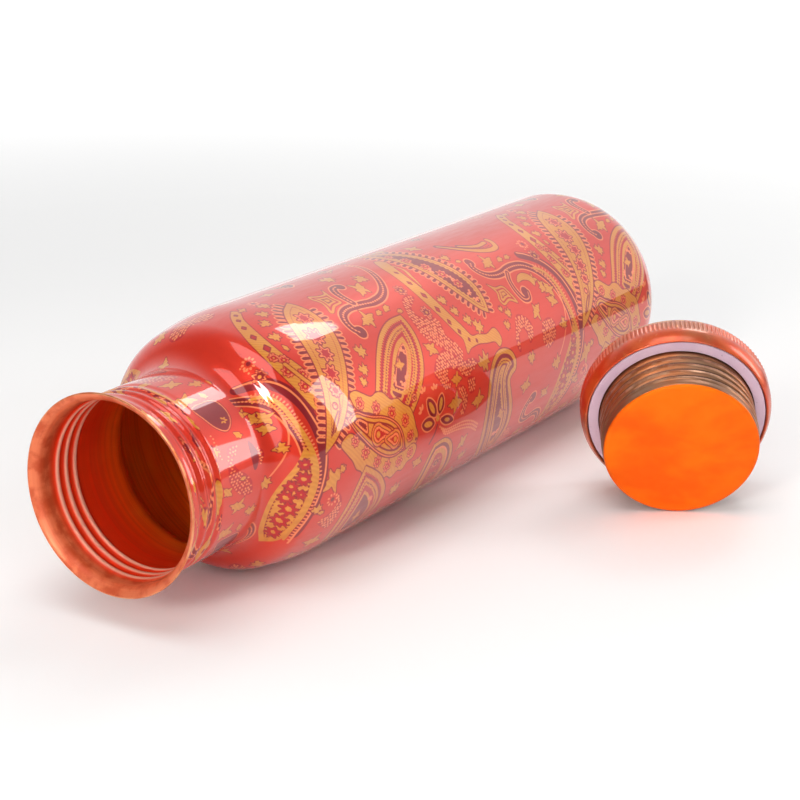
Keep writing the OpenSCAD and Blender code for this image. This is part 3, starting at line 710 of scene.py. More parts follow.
def sheet(name, P, u, v, slots, mats, closed_i=False, flip=False, fans=()):
    """A mesh from a grid of points P[i, j] that closes round j. u, v are the map coordinates at the grid's lines,
    slots the material of each row of faces, fans the rows (index, point, side) that a middle point closes."""
    n, m = P.shape[:2]
    rows = n if closed_i else n - 1
    i, j = np.meshgrid(np.arange(rows), np.arange(m), indexing="ij")
    i2, j2 = (i + 1) % n, (j + 1) % m
    quad = np.stack([i * m + j, i * m + j2, i2 * m + j2, i2 * m + j], -1).reshape(-1, 4)
    uu = np.stack([u[j], u[j + 1], u[j + 1], u[j]], -1).reshape(-1, 4)
    vv = np.stack([v[i], v[i], v[i + 1], v[i + 1]], -1).reshape(-1, 4)
    if flip:
        quad, uu, vv = quad[:, ::-1], uu[:, ::-1], vv[:, ::-1]
    co = P.reshape(-1, 3)
    loops = [quad.reshape(-1)]
    uvs = [np.stack([uu, vv], -1).reshape(-1, 2)]
    totals = [np.full(len(quad), 4)]
    index = [np.repeat(np.asarray(slots), m)]
    for row, point, turn, slot, box in fans:
        c = len(co)
        co = np.concatenate([co, np.asarray(point, float)[None]])
        a = np.arange(m)
        tri = np.stack([row * m + a, row * m + (a + 1) % m, np.full(m, c)], -1)
        if turn:
            tri = tri[:, ::-1]
        loops.append(tri.reshape(-1))
        t = np.array([a, a + 1]) * 2 * math.pi / m
        cx, cy, cr = box
        uv = np.stack([np.stack([cx + cr * np.cos(t[0]), cy + cr * np.sin(t[0])], -1), np.stack([cx + cr * np.cos(t[1]), cy + cr * np.sin(t[1])], -1),
                       np.tile([cx, cy], (m, 1))], 1)
        uvs.append((uv[:, ::-1] if turn else uv).reshape(-1, 2))
        totals.append(np.full(m, 3))
        index.append(np.full(m, slot))
    loops, uvs, totals, index = map(np.concatenate, (loops, uvs, totals, index))
    me = bpy.data.meshes.new(name)
    me.vertices.add(len(co))
    me.vertices.foreach_set("co", co.astype(np.float32).reshape(-1))
    me.loops.add(len(loops))
    me.loops.foreach_set("vertex_index", loops.astype(np.int32))
    me.polygons.add(len(totals))
    me.polygons.foreach_set("loop_start", (np.cumsum(totals) - totals).astype(np.int32))
    me.polygons.foreach_set("loop_total", totals.astype(np.int32))
    me.polygons.foreach_set("material_index", index.astype(np.int32))
    me.polygons.foreach_set("use_smooth", np.ones(len(totals), bool))
    layer = me.uv_layers.new(name="OFBake")
    layer.uv.foreach_set("vector", uvs.astype(np.float32).reshape(-1))
    for mat in mats:
        me.materials.append(mat)
    me.update(calc_edges=True)
    me.validate()
    ob = bpy.data.objects.new(name, me)
    bpy.context.scene.collection.objects.link(ob)
    return ob


def attribute(ob, name, values, kind="FLOAT"):
    a = ob.data.attributes.new(name, kind, "POINT")
    a.data.foreach_set("value" if kind == "FLOAT" else "color", np.asarray(values, np.float32).reshape(-1))


def ink_attributes(ob, F, rest=0):
    """Stores the four inks' reach on the vertices, with rest more vertices that carry no ink."""
    F = np.concatenate([F.reshape(4, -1), np.full((4, rest), -REACH)], 1)
    for k, name in enumerate(("ink_gold", "ink_maroon", "ink_light", "ink_crimson")):
        attribute(ob, name, F[k])


# ---------------------------------------------------------------- materials
def srgb(r, g, b):
    return tuple(((c / 255 + 0.055) / 1.055) ** 2.4 if c > 10.3 else c / 255 / 12.92 for c in (r, g, b)) + (1.0,)


class Nodes:
    def __init__(self, name):
        self.mat = bpy.data.materials.new(name)
        self.mat.use_nodes = True
        self.t = self.mat.node_tree
        self.t.nodes.clear()
        self.out = self.t.nodes.new("ShaderNodeOutputMaterial")
        self.bsdf = self.t.nodes.new("ShaderNodeBsdfPrincipled")
        self.t.links.new(self.bsdf.outputs[0], self.out.inputs[0])

    def node(self, kind, **values):
        n = self.t.nodes.new("ShaderNode" + kind)
        for k, v in values.items():
            setattr(n, k, v)
        return n

    def link(self, a, b):
        self.t.links.new(a, b)

    def set(self, **values):
        for k, v in values.items():
            self.bsdf.inputs[k.replace("_", " ")].default_value = v

    def math(self, op, a, b=None, c=None, clamp=False):
        n = self.node("Math", operation=op, use_clamp=clamp)
        for k, v in enumerate((a, b, c)):
            if v is None:
                continue
            if isinstance(v, (int, float)):
                n.inputs[k].default_value = v
            else:
                self.link(v, n.inputs[k])
        return n.outputs[0]

    def mix(self, f, a, b, blend="MIX"):
        n = self.node("Mix", data_type="RGBA", blend_type=blend)
        n.clamp_factor = True
        for k, v in ((0, f), (6, a), (7, b)):
            if isinstance(v, (int, float, tuple)):
                n.inputs[k].default_value = v
            else:
                self.link(v, n.inputs[k])
        return n.outputs[2]

    def ramp(self, v, a, b, lo=0.0, hi=1.0, smooth=True):
        n = self.node("MapRange", interpolation_type="SMOOTHSTEP" if smooth else "LINEAR")
        self.link(v, n.inputs[0])
        for k, x in ((1, a), (2, b), (3, lo), (4, hi)):
            n.inputs[k].default_value = x
        return n.outputs[0]

    def coords(self):
        return self.node("TexCoord").outputs["Object"]

    def noise(self, where, scale, detail=3.0, rough=0.55, distort=0.0):
        n = self.node("TexNoise")
        self.link(where, n.inputs["Vector"])
        n.inputs["Scale"].default_value = scale
        n.inputs["Detail"].default_value = detail
        n.inputs["Roughness"].default_value = rough
        n.inputs["Distortion"].default_value = distort
        return n.outputs["Fac"]

    def stretch(self, where, scale, turn=(0, 0, 0)):
        n = self.node("Mapping")
        n.inputs["Scale"].default_value = scale
        n.inputs["Rotation"].default_value = turn
        self.link(where, n.inputs["Vector"])
        return n.outputs[0]

    def attr(self, name):
        return self.node("Attribute", attribute_name=name).outputs["Fac"]

    def bump(self, height, strength, dist):
        n = self.node("Bump")
        n.inputs["Strength"].default_value = strength
        n.inputs["Distance"].default_value = dist
        self.link(height, n.inputs["Height"])
        self.link(n.outputs[0], self.bsdf.inputs["Normal"])
        return n


def print_colour(n, where):
    """Red translucent lacquer over copper with the four inks on it."""
    soft = 0.13
    slow = n.noise(where, 14.0, 2.0)
    fine = n.noise(n.stretch(where, (1.0, 1.0, 1.0)), 900.0, 2.0)
    ground = n.mix(n.ramp(slow, 0.35, 0.7), srgb(*GROUND_A), srgb(*GROUND_B))
    ground = n.mix(n.math("MULTIPLY", fine, 0.22), ground, srgb(*GROUND_C))
    crimson = srgb(*INK_CRIMSON)
    maroon = n.mix(n.ramp(slow, 0.3, 0.7), srgb(*INK_MAROON), srgb(*INK_MAROON_B))
    hatch = n.node("TexWave", wave_type="BANDS", bands_direction="DIAGONAL", wave_profile="SIN")
    n.link(where, hatch.inputs["Vector"])
    hatch.inputs["Scale"].default_value = 420.0
    hatch.inputs["Distortion"].default_value = 3.0
    gold = n.mix(n.ramp(n.noise(where, 60.0, 3.0), 0.3, 0.75), srgb(*INK_GOLD), srgb(*INK_GOLD_B))
    gold = n.mix(n.math("MULTIPLY", hatch.outputs["Fac"], 0.30), gold, srgb(*INK_GOLD_C))
    col = n.mix(n.ramp(n.attr("ink_crimson"), -soft, soft), ground, crimson)
    col = n.mix(n.ramp(n.attr("ink_maroon"), -soft, soft), col, maroon)
    col = n.mix(n.ramp(n.attr("ink_gold"), -soft, soft), col, gold)
    col = n.mix(n.ramp(n.attr("ink_light"), -soft - 0.02, soft - 0.02), col, srgb(*INK_LIGHT))
    return col


GROUND_A, GROUND_B, GROUND_C = (206, 42, 16), (216, 56, 20), (184, 24, 16)
INK_CRIMSON, INK_MAROON, INK_MAROON_B = (182, 12, 18), (128, 12, 20), (148, 18, 26)
INK_GOLD, INK_GOLD_B, INK_GOLD_C = (208, 124, 34), (216, 142, 52), (182, 90, 24)
INK_LIGHT = (232, 124, 74)


def mat_print():
    n = Nodes("printed_lacquer")
    where = n.coords()
    n.link(print_colour(n, where), n.bsdf.inputs["Base Color"])
    n.set(Metallic=0.38, Coat_Weight=1.0, Coat_Roughness=0.03, Coat_IOR=1.5, IOR=1.45, Specular_IOR_Level=0.3)
    rough = n.ramp(n.noise(n.stretch(where, (1, 6, 6)), 120.0, 4.0), 0.3, 0.7, 0.34, 0.44)
    n.link(rough, n.bsdf.inputs["Roughness"])
    h = n.math("ADD", n.math("MULTIPLY", n.noise(where, 30.0, 2.0), 1.0), n.math("MULTIPLY", n.noise(where, 260.0, 2.0), 0.12))
    n.bump(h, 0.12, 0.0006)
    return n.mat


def mat_inside():
    """Bare copper inside: peach at the worn mouth, with a painted highlight in pale peach on the thread's crests; deep
    red painted shade down the neck and an orange painted glow of light bounced about inside in the body.
    """
    n = Nodes("bare_copper")
    where = n.coords()
    part = n.node("SeparateXYZ")
    n.link(where, part.inputs[0])
    x = n.math("ADD", part.outputs[0], -X0 * MM)
    rings = n.noise(n.stretch(where, (1.0, 0.02, 0.02)), 900.0, 3.0)
    blot = n.noise(where, 45.0, 4.0)
    # painted light inside: deep red painted shade in the neck, where little light gets in, turning 20 to 40 mm from the
    # lip into a brighter orange painted glow of bounced light in the body
    neck_shade_colour = n.mix(n.ramp(blot, 0.35, 0.7), srgb(226, 50, 12), srgb(232, 64, 20))
    body_glow_colour = n.mix(n.ramp(blot, 0.35, 0.7), srgb(252, 104, 10), srgb(246, 128, 28))
    col = n.mix(n.ramp(x, 0.020, 0.040), neck_shade_colour, body_glow_colour)
    mouth = n.mix(n.ramp(n.noise(where, 220.0, 4.0), 0.4, 0.65), srgb(226, 120, 78), srgb(198, 84, 46))
    col = n.mix(n.ramp(x, 0.0045, 0.0072, 1.0, 0.0), col, mouth)
    # painted highlight: pale peach on the inner thread's crests
    col = n.mix(n.ramp(n.attr("crest"), 0.35, 0.95, 0.0, 0.9), col, srgb(250, 196, 168))
    col = n.mix(n.math("MULTIPLY", n.ramp(rings, 0.4, 0.7), 0.3), col, srgb(176, 50, 22))
    n.link(col, n.bsdf.inputs["Base Color"])
    n.set(Metallic=0.3, Specular_IOR_Level=0.4)
    n.link(n.ramp(n.noise(n.stretch(where, (4, 1, 1)), 80.0, 3.0), 0.3, 0.7, 0.34, 0.46), n.bsdf.inputs["Roughness"])
    n.bump(rings, 0.10, 0.0003)
    return n.mat


def mat_edge():
    """The lip's rolled edge, where the copper shows through worn lacquer."""
    n = Nodes("lip_copper")
    where = n.coords()
    col = n.mix(n.ramp(n.noise(where, 160.0, 4.0), 0.4, 0.62), srgb(236, 158, 112), srgb(214, 112, 66))
    n.link(col, n.bsdf.inputs["Base Color"])
    n.set(Metallic=1.0, Coat_Weight=0.4, Coat_Roughness=0.12)
    n.link(n.ramp(n.noise(where, 400.0, 3.0), 0.3, 0.7, 0.3, 0.42), n.bsdf.inputs["Roughness"])
    n.bump(n.noise(where, 500.0, 3.0), 0.15, 0.0002)
    return n.mat


def mat_base():
    n = Nodes("base_copper")
    where = n.coords()
    rings = n.noise(n.stretch(where, (0.02, 1.0, 1.0)), 500.0, 3.0)
    col = n.mix(n.ramp(n.noise(where, 60.0, 4.0), 0.35, 0.7), srgb(214, 104, 56), srgb(228, 128, 78))
    n.link(col, n.bsdf.inputs["Base Color"])
    n.set(Metallic=1.0, Coat_Weight=0.6, Coat_Roughness=0.1)
    n.link(n.ramp(rings, 0.3, 0.7, 0.26, 0.4), n.bsdf.inputs["Roughness"])
    n.bump(rings, 0.12, 0.0003)
    return n.mat


def mat_cap():
    """Copper-orange lacquered band and rim of the cap in random redder and oranger patches, browner where it was
    handled.
    """
    n = Nodes("lacquered_cap")
    where = n.coords()
    blot = n.noise(where, 120.0, 4.0, 0.6)
    col = n.mix(n.ramp(blot, 0.38, 0.66), srgb(206, 68, 28), srgb(218, 96, 44))
    col = n.mix(n.ramp(n.noise(where, 42.0, 3.0), 0.46, 0.68), col, srgb(176, 96, 58))
    # painted glints: small lighter gold flecks scattered over the band and rim
    col = n.mix(n.ramp(n.noise(where, 300.0, 3.0), 0.62, 0.8), col, srgb(226, 140, 84))
    n.link(col, n.bsdf.inputs["Base Color"])
    n.set(Metallic=0.6, Coat_Weight=0.7, Coat_Roughness=0.12, Coat_IOR=1.45)
    n.link(n.ramp(n.noise(where, 260.0, 3.0), 0.3, 0.7, 0.34, 0.46), n.bsdf.inputs["Roughness"])
    n.bump(n.noise(where, 420.0, 3.0), 0.12, 0.0002)
    return n.mat


def mat_thread():
    """Brown toned copper of the plug's thread, lighter and greyer on the crests, partly wear and partly a painted
    highlight, and darkened in the grooves by painted shade.
    """
    n = Nodes("aged_thread")
    where = n.coords()
    blot = n.noise(where, 150.0, 5.0, 0.65)
    streak = n.noise(where, 40.0, 3.0)
    col = n.mix(n.ramp(blot, 0.34, 0.7), srgb(150, 88, 52), srgb(178, 108, 66))
    col = n.mix(n.ramp(streak, 0.42, 0.7, 0.0, 0.8), col, srgb(142, 112, 90))
    # lighter, greyer crests: partly rubbed copper, partly a painted highlight
    crest_wear_and_highlight = n.math("MULTIPLY", n.ramp(n.attr("crest"), 0.8, 1.0), n.ramp(n.noise(where, 260.0, 3.0), 0.4, 0.7))
    col = n.mix(crest_wear_and_highlight, col, srgb(196, 150, 118))
    # painted shade: the narrow grooves of the thread darkened to a deep brown
    low = n.ramp(n.attr("crest"), 0.1, 0.6, 0.85, 0.0)
    col = n.mix(low, col, srgb(66, 50, 42))
    n.link(col, n.bsdf.inputs["Base Color"])
    n.set(Metallic=0.75)
    n.link(n.ramp(blot, 0.3, 0.7, 0.30, 0.46), n.bsdf.inputs["Roughness"])
    n.bump(blot, 0.2, 0.0002)
    return n.mat


def mat_disc():
    """Flat matt copper of the plug's end with faint slanting drifts of tone."""
    n = Nodes("plug_disc_copper")
    where = n.coords()
    drift = n.noise(n.stretch(where, (1.0, 1.0, 2.2), (0.0, 0.5, 0.3)), 34.0, 3.0, 0.55, 0.4)
    col = n.mix(n.ramp(drift, 0.36, 0.66), srgb(250, 116, 10), srgb(238, 92, 8))
    col = n.mix(n.math("MULTIPLY", n.noise(where, 260.0, 3.0), 0.25), col, srgb(255, 130, 24))
    n.link(col, n.bsdf.inputs["Base Color"])
    n.set(Metallic=0.45, Specular_IOR_Level=0.15)
    n.link(n.ramp(n.noise(where, 200.0, 3.0), 0.3, 0.7, 0.5, 0.64), n.bsdf.inputs["Roughness"])
    n.bump(n.noise(where, 700.0, 2.0), 0.1, 0.0002)
    return n.mat


def mat_seal():
    """Pale lavender silicone."""
    n = Nodes("seal")
    where = n.coords()
    col = n.mix(n.ramp(n.noise(where, 90.0, 3.0), 0.3, 0.75), srgb(220, 192, 208), srgb(206, 176, 196))
    col = n.mix(n.ramp(n.noise(where, 900.0, 1.0), 0.72, 0.78, 0.0, 0.35), col, srgb(130, 106, 130))
    n.link(col, n.bsdf.inputs["Base Color"])
    n.set(Specular_IOR_Level=0.35, Subsurface_Weight=0.15, Subsurface_Scale=0.001)
    n.bsdf.inputs["Subsurface Radius"].default_value = (1.0, 0.7, 0.8)
    n.link(n.ramp(n.noise(where, 300.0, 2.0), 0.3, 0.7, 0.48, 0.6), n.bsdf.inputs["Roughness"])
    n.bump(n.noise(where, 800.0, 2.0), 0.08, 0.0002)
    return n.mat


M_PRINT, M_INSIDE, M_EDGE, M_BASE = mat_print(), mat_inside(), mat_edge(), mat_base()
M_CAP, M_THREAD, M_DISC, M_SEAL = mat_cap(), mat_thread(), mat_disc(), mat_seal()


# ---------------------------------------------------------------- the bottle
def build_bottle():
    around = 2 * NY
    th = np.arange(around) * 2 * math.pi / around - math.radians(70)
    t, r, s = resample(wall_line(0), lambda end: np.arange(0, end, CX))
    outer_n = len(t)
    # inner skin, from the foot back to the lip
    line = wall_line(WALL)
    tt = np.concatenate([[0], np.cumsum(np.hypot(*np.diff(line, axis=0).T))])
    neck_t = np.interp(20.0, line[:, 1], tt)
    step = 0.4
    ti = np.concatenate([np.arange(0, neck_t, step), np.arange(neck_t, np.interp(70, line[:, 1], tt), 1.2), np.arange(np.interp(70, line[:, 1], tt), np.interp(236, line[:, 1], tt), 4.0), np.arange(np.interp(236, line[:, 1], tt), tt[-1], 1.5), [tt[-1]]])
    ti, ri, si = resample(line, ti)
    T, S, Rr = [], [], []
    dent = lambda s_, r_: np.where(s_[:, None] < 24, TH_DEPTH * thread_depth(s_[:, None], th[None]), 0)
    outer = on_bottle(s[:, None], r[:, None] - dent(s, r), th[None])
    foot = np.array([(FOOT_R, LENGTH), (FOOT_R, LENGTH - WALL)])
    foot_p = on_bottle(foot[:, 1][:, None], foot[:, 0][:, None], th[None])
    inner = on_bottle(si[::-1][:, None], ri[::-1][:, None] - dent(si[::-1], ri[::-1]), th[None])
    # rolled edge of the lip, a half round from the inner skin to the outer
    a, b = np.array([s[0], r[0]]), np.array([si[0], ri[0]])
    mid, half = (a + b) / 2, (a - b) / 2
    out = np.array([-half[1], half[0]])
    if out[1] < 0:
        out = -out
    bead = [mid + half * math.cos(x) * -1 + out * math.sin(x) for x in np.linspace(0, math.pi, 8)[1:-1]]
    bead_p = on_bottle(np.array([q[0] for q in bead])[:, None], np.array([q[1] for q in bead])[:, None], th[None])
    P = np.concatenate([outer, foot_p[:1], foot_p[1:], inner[1:], bead_p])
    rows = len(P)
    slots = np.zeros(rows, int)
    slots[outer_n:] = 1
    slots[rows - len(bead_p) - 1:] = 2
    u = np.arange(around + 1) / around
    v = np.zeros(rows + 1)
    v[:outer_n + 1] = np.linspace(0.0, 0.80, outer_n + 1)
    v[outer_n:] = np.linspace(0.81, 1.0, rows + 1 - outer_n)
    v[outer_n] = 0.805
    ob = sheet("bottle_body", P, u, v, slots, [M_PRINT, M_INSIDE, M_EDGE], closed_i=True)
    # the print
    X = t[:, None] - 30 + 0 * th[None]
    Y = (th[None] + math.radians(70)) * BODY_R + 0 * X
    F = ink_at(X, Y)
    N = ink_neck(X, Y)
    k = np.clip((X - 0.6) / 0.9, 0, 1)[None]
    F = N * (1 - k) + F * k
    # on the thread and the lip the print was dragged round by the rolling tool
    wob = 1.6 * np.sin(th[None] * 5 + X * 0.5) + 1.1 * np.sin(th[None] * 11 + 1.3 + X * 0.9)
    D = ink_at(58 + (X + 30) * 2.7 + wob, Y * 0.5 + 1.2 * np.sin(X * 2.1))
    D[LIGHT] = np.maximum(D[LIGHT], -0.55)
    k = np.clip((-13.6 + 0.5 * np.sin(th[None] * 7) - X) / 1.6, 0, 1)[None]
    F = F * (1 - k) + D * k
    full = np.full((4, rows, around), -REACH, np.float32)
    full[:, :outer_n] = F
    ink_attributes(ob, full)
    # crest marks where the inner thread stands up; the inside material paints a highlight there
    crest = np.zeros((rows, around), np.float32)
    first = outer_n + 2
    crest[first:first + len(si) - 1] = np.where(si[::-1][1:, None] < 24, thread_depth(si[::-1][1:, None], th[None]), 0)
    attribute(ob, "crest", crest)
    return ob


def build_base():
    m = 320
    th = np.arange(m) * 2 * math.pi / m
    s1 = LENGTH - FOOT_DEEP
    ro = FOOT_R - 0.06
    prof = [(0.02, s1 - 0.35), (6.0, s1 - 0.33), (11.5, s1 - 0.22), (13.6, s1 - 0.1), (14.2, s1 + 0.25), (14.9, s1 + 0.45), (15.6, s1 + 0.25), (16.2, s1 - 0.05), (18.2, s1 - 0.02), (18.9, s1 + 0.25), (19.25, s1 + 1.0),
            (19.3, LENGTH - 0.5), (19.5, LENGTH - 0.22), (19.75, LENGTH - 0.15), (ro, LENGTH - 0.35), (ro, s1 - 0.2), (19.6, s1 - 0.6), (15.0, s1 - 0.62), (0.02, s1 - 0.95)]
    L = smooth(prof[:11], n=5)
    L = np.concatenate([L, np.array(prof[11:])])
    P = on_bottle(L[:, 1][:, None], L[:, 0][:, None], th[None])
    v = np.linspace(0, 0.7, len(L))
    ob = sheet("base_pan", P, np.arange(m + 1) / m, np.append(v, v[-1]), np.zeros(len(L) - 1, int), [M_BASE],
               flip=True, fans=[(0, P[0].mean(0), True, 0, (0.1, 0.9, 0.05)), (len(L) - 1, P[-1].mean(0), False, 0, (0.3, 0.9, 0.05))])
    return ob


# ---------------------------------------------------------------- the lid
def on_lid(z, r, th):
    z, r, th = np.broadcast_arrays(z, r, th)
    local = np.stack([r * np.cos(th), r * np.sin(th), z], -1).reshape(-1, 3)
    M = np.array(LID_M)
    return ((local @ M[:3, :3].T + M[:3, 3]) * MM).reshape(z.shape + (3,))


def build_cap():
    """Closed end with the print on it, knurled band, rounded rim and the hollow that holds plug and seal."""
    knurls = 132
    m = knurls * 8
    th = np.arange(m) * 2 * math.pi / m
    prof = []      # (radius, z, knurl share, slot), from the middle of the closed end round to the inside
    for r in np.arange(0.3, 25.8, 0.4):
        prof.append((r, -8.2 + 0.16 * (r / 25.6) ** 2 - 0.10 * math.exp(-((r - 19.4) / 0.5) ** 2), 0, 0))
    for a in np.linspace(0, 80, 12):
        prof.append((26.05 + 2.15 * math.sin(math.radians(a)), -6.06 - 1.98 * math.cos(math.radians(a)), 0, 0))
    prof += [(28.28, -5.75, 0, 0), (28.40, -5.60, 0.0, 1), (28.58, -5.44, 0.6, 1), (28.70, -5.28, 1.0, 1), (28.74, -4.6, 1.0, 1), (28.76, -3.8, 1.0, 1), (28.76, -3.0, 1.0, 1), (28.75, -2.3, 1.0, 1),
             (28.74, -1.8, 0.85, 1), (28.72, -1.4, 0.4, 1), (28.71, -1.1, 0.1, 1), (28.72, -0.7, 0, 1), (28.72, 0.0, 0, 1), (28.64, 0.6, 0, 1), (28.48, 1.3, 0, 1), (28.26, 2.0, 0, 1), (27.98, 2.65, 0, 1),
             (27.70, 3.2, 0, 1), (27.46, 3.58, 0, 1), (27.28, 3.78, 0, 1), (27.10, 3.84, 0, 1), (26.94, 3.78, 0, 1), (26.82, 3.6, 0, 1), (26.72, 3.3, 0, 1), (26.68, 2.9, 0, 1), (26.68, 1.2, 0, 1), (26.68, -7.4, 0, 1),
             (24.0, -7.55, 0, 1), (4.0, -7.55, 0, 1)]
    prof = np.array(prof)
    wave = 0.5 + 0.5 * np.cos(th * knurls)
    wave = wave ** 0.7
    r = prof[:, 0][:, None] - 0.36 * prof[:, 2][:, None] * (1 - wave[None])
    P = on_lid(prof[:, 1][:, None] + 0 * r, r, th[None] + 0 * r)
    slots = prof[:-1, 3].astype(int)
    d = np.concatenate([[0], np.cumsum(np.hypot(np.diff(prof[:, 0]), np.diff(prof[:, 1])))])
    v = 0.06 + d / d[-1] * 0.78
    ob = sheet("cap", P, np.arange(m + 1) / m, np.append(v, v[-1]), slots, [M_PRINT, M_CAP],
               flip=True, fans=[(0, P[0].mean(0), True, 0, (0.1, 0.93, 0.03)), (len(prof) - 1, P[-1].mean(0), False, 1, (0.3, 0.93, 0.03))])
    x, y = prof[:, 0][:, None] * np.cos(th), prof[:, 0][:, None] * np.sin(th)
    # the print is pulled over the edge, so it runs on along the radius there
    reach = np.where(prof[:, 0] > 25, 25 + (d - np.interp(25, prof[:, 0][:60], d[:60])) * 0.9, prof[:, 0])[:, None]
    x, y = reach * np.cos(th), reach * np.sin(th)
    F = ink_at(58 + x, 84 + y)
    ink_attributes(ob, F, 2)
    return ob


def plug_crest(z, th):
    """The plug's rolled thread, 0 in its narrow grooves and 1 on the broad crests between them."""
    p = (z - 6.7) / PITCH - th / (2 * math.pi)
    away = np.abs(p - np.round(p)) * PITCH
    c = 1 - np.exp(-(away / 0.62) ** 2) - 0.16 * (1 - away / (PITCH / 2)) ** 2
    env = np.clip((z - 4.2) / 1.0, 0, 1) * np.clip((17.6 - z) / 0.8, 0, 1)
    return c * env + (1 - env) * 0.82


def build_plug():
    m = 480
    th = np.arange(m) * 2 * math.pi / m
    z = np.concatenate([[2.6, 3.0], np.arange(3.4, 18.4, 0.15), [18.7, 19.0, 19.3, 19.55, 19.75]])
    zz, tt = np.meshgrid(z, th, indexing="ij")
    c = plug_crest(zz, tt)
    r = 22.38 + 0.9 * c
    r = np.where(zz > 17.4, np.minimum(r, 22.98 - np.clip(zz - 19.2, 0, 1) * 0.5), r)
    r = np.where(zz < 3.2, 22.9, r)
    P = on_lid(zz, r, tt)
    back = np.array([(21.7, 19.75), (21.3, 19.2), (21.3, -7.2), (22.1, -7.2), (22.2, 1.2), (26.55, 1.2), (26.55, 1.86), (22.7, 1.86)])
    B = on_lid(back[:, 1][:, None], back[:, 0][:, None], th[None])
    P = np.concatenate([P, B])
    rows = len(P)
    v = np.zeros(rows + 1)
    v[:len(z)] = np.linspace(0, 0.6, len(z))
    v[len(z):] = np.linspace(0.62, 1, rows + 1 - len(z))
    ob = sheet("plug_thread", P, np.arange(m + 1) / m, v, np.zeros(rows, int), [M_THREAD], closed_i=True)
    attribute(ob, "crest", np.concatenate([c.reshape(-1), np.full(len(B) * m, 0.5)]))
    return ob


def build_disc():
    m = 320
    th = np.arange(m) * 2 * math.pi / m
    top = PLUG_END
    prof = [(r, top - 0.08 + 0.05 * math.cos(r / 21.0 * math.pi)) for r in np.linspace(0.4, 21.1, 20)]
    prof += [(21.5, top - 0.12), (21.95, top - 0.2), (22.35, top - 0.38), (22.66, top - 0.64), (22.82, top - 0.9), (22.74, top - 0.99), (22.4, top - 1.0), (0.4, top - 1.0)]
    L = np.array(prof)
    P = on_lid(L[:, 1][:, None], L[:, 0][:, None], th[None])
    v = np.linspace(0.05, 0.85, len(L))
    return sheet("plug_face", P, np.arange(m + 1) / m, np.append(v, v[-1]), np.zeros(len(L) - 1, int), [M_DISC],
                 flip=False, fans=[(0, P[0].mean(0), True, 0, (0.1, 0.93, 0.03)), (len(L) - 1, P[-1].mean(0), False, 0, (0.3, 0.93, 0.03))])


def build_seal():
    m = 320
    th = np.arange(m) * 2 * math.pi / m
    ri, ro, z0, z1, e = 23.45, 26.5, 1.98, 3.42, 0.2
    prof = []
    for (r, z, a) in ((ro - e, z1 - e, 0), (ri + e, z1 - e, 90), (ri + e, z0 + e, 180), (ro - e, z0 + e, 270)):
        prof += [(r + e * math.cos(math.radians(a + b)), z + e * math.sin(math.radians(a + b))) for b in (0, 22.5, 45, 67.5, 90)]
    L = np.array(prof)
    P = on_lid(L[:, 1][:, None] + 0.02 * np.sin(3 * th)[None], L[:, 0][:, None], th[None])
    v = np.linspace(0, 1, len(L) + 1)
    return sheet("seal_ring", P, np.arange(m + 1) / m, v, np.zeros(len(L), int), [M_SEAL], closed_i=True, flip=False)


bottle, base = build_bottle(), build_base()
cap, plug, disc, seal = build_cap(), build_plug(), build_disc(), build_seal()
for ob, node, body, slot in ((bottle, "bottle_shell", "bottle", "printed_lacquer"), (base, "base_plate", "bottle", "bare_copper"), (cap, "cap_shell", "lid", "lacquered_cap"),
                             (plug, "plug_cup", "lid", "aged_thread"), (disc, "plug_end_disc", "lid", "plug_disc_copper"), (seal, "sealing_gasket", "seal_ring", "seal")):
    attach(ob, body)
    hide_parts(node)

# ---------------------------------------------------------------- floor, light and camera
n = Nodes("floor")
n.bsdf.inputs["Base Color"].default_value = (0.92, 0.92, 0.92, 1)
n.set(Roughness=0.6, Specular_IOR_Level=0.25)
where = n.coords()
n.link(n.mix(n.noise(where, 3.0, 2.0), (0.90, 0.90, 0.90, 1), (0.93, 0.93, 0.93, 1)), n.bsdf.inputs["Base Color"])
away = n.node("VectorMath", operation="LENGTH")
n.link(where, away.inputs[0])
# painted light: the floor glows, from none within 0.3 m of the middle up to 0.75 at 1.3 m, whitening the far floor
# while the floor near the bottle keeps its shadow
n.bsdf.inputs["Emission Color"].default_value = (1, 1, 1, 1)
n.link(n.ramp(away.outputs["Value"], 0.30, 1.3, 0.0, 0.75), n.bsdf.inputs["Emission Strength"])
a = np.linspace(0, 2 * math.pi, 96, endpoint=False)
me = bpy.data.meshes.new("floor")
me.from_pydata([(6 * math.cos(t), 6 * math.sin(t), 0) for t in a], [], [list(range(96))])
me.materials.append(n.mat)
floor = bpy.data.objects.new("floor", me)
bpy.context.scene.collection.objects.link(floor)


def polar(az, el, dist, at=(0.0, 0.0, 0.04)):
    a, e = math.radians(az), math.radians(el)
    return Vector(at) + dist * Vector((math.cos(a) * math.cos(e), math.sin(a) * math.cos(e), math.sin(e)))


def softbox(name, az, el, dist, w, h, power, colour=(1, 1, 1), at=(0.0, 0.0, 0.04), spread=180):
    d = bpy.data.lights.new(name, "AREA")
    d.shape, d.size, d.size_y, d.energy, d.color = "RECTANGLE", w, h, power, colour
    d.spread = math.radians(spread)
    o = bpy.data.objects.new(name, d)
    o.location = polar(az, el, dist, at)
    o.rotation_euler = (Vector(at) - o.location).to_track_quat("-Z", "Y").to_euler()
    bpy.context.scene.collection.objects.link(o)
    return o


softbox("strip_right", -48, 19, 1.25, 0.32, 0.80, 4.6)
softbox("soft_left", -143, 21, 1.35, 1.10, 0.84, 7.0)
softbox("mouth_light", -172, 24, 1.2, 0.22, 0.22, 0.3, (1.0, 0.93, 0.86), (-0.13, 0.036, 0.036), 40)
softbox("top_soft", -160, 70, 1.3, 0.95, 0.75, 6.4)
softbox("back_strip", 5, 45, 1.3, 0.34, 0.25, 1.6)

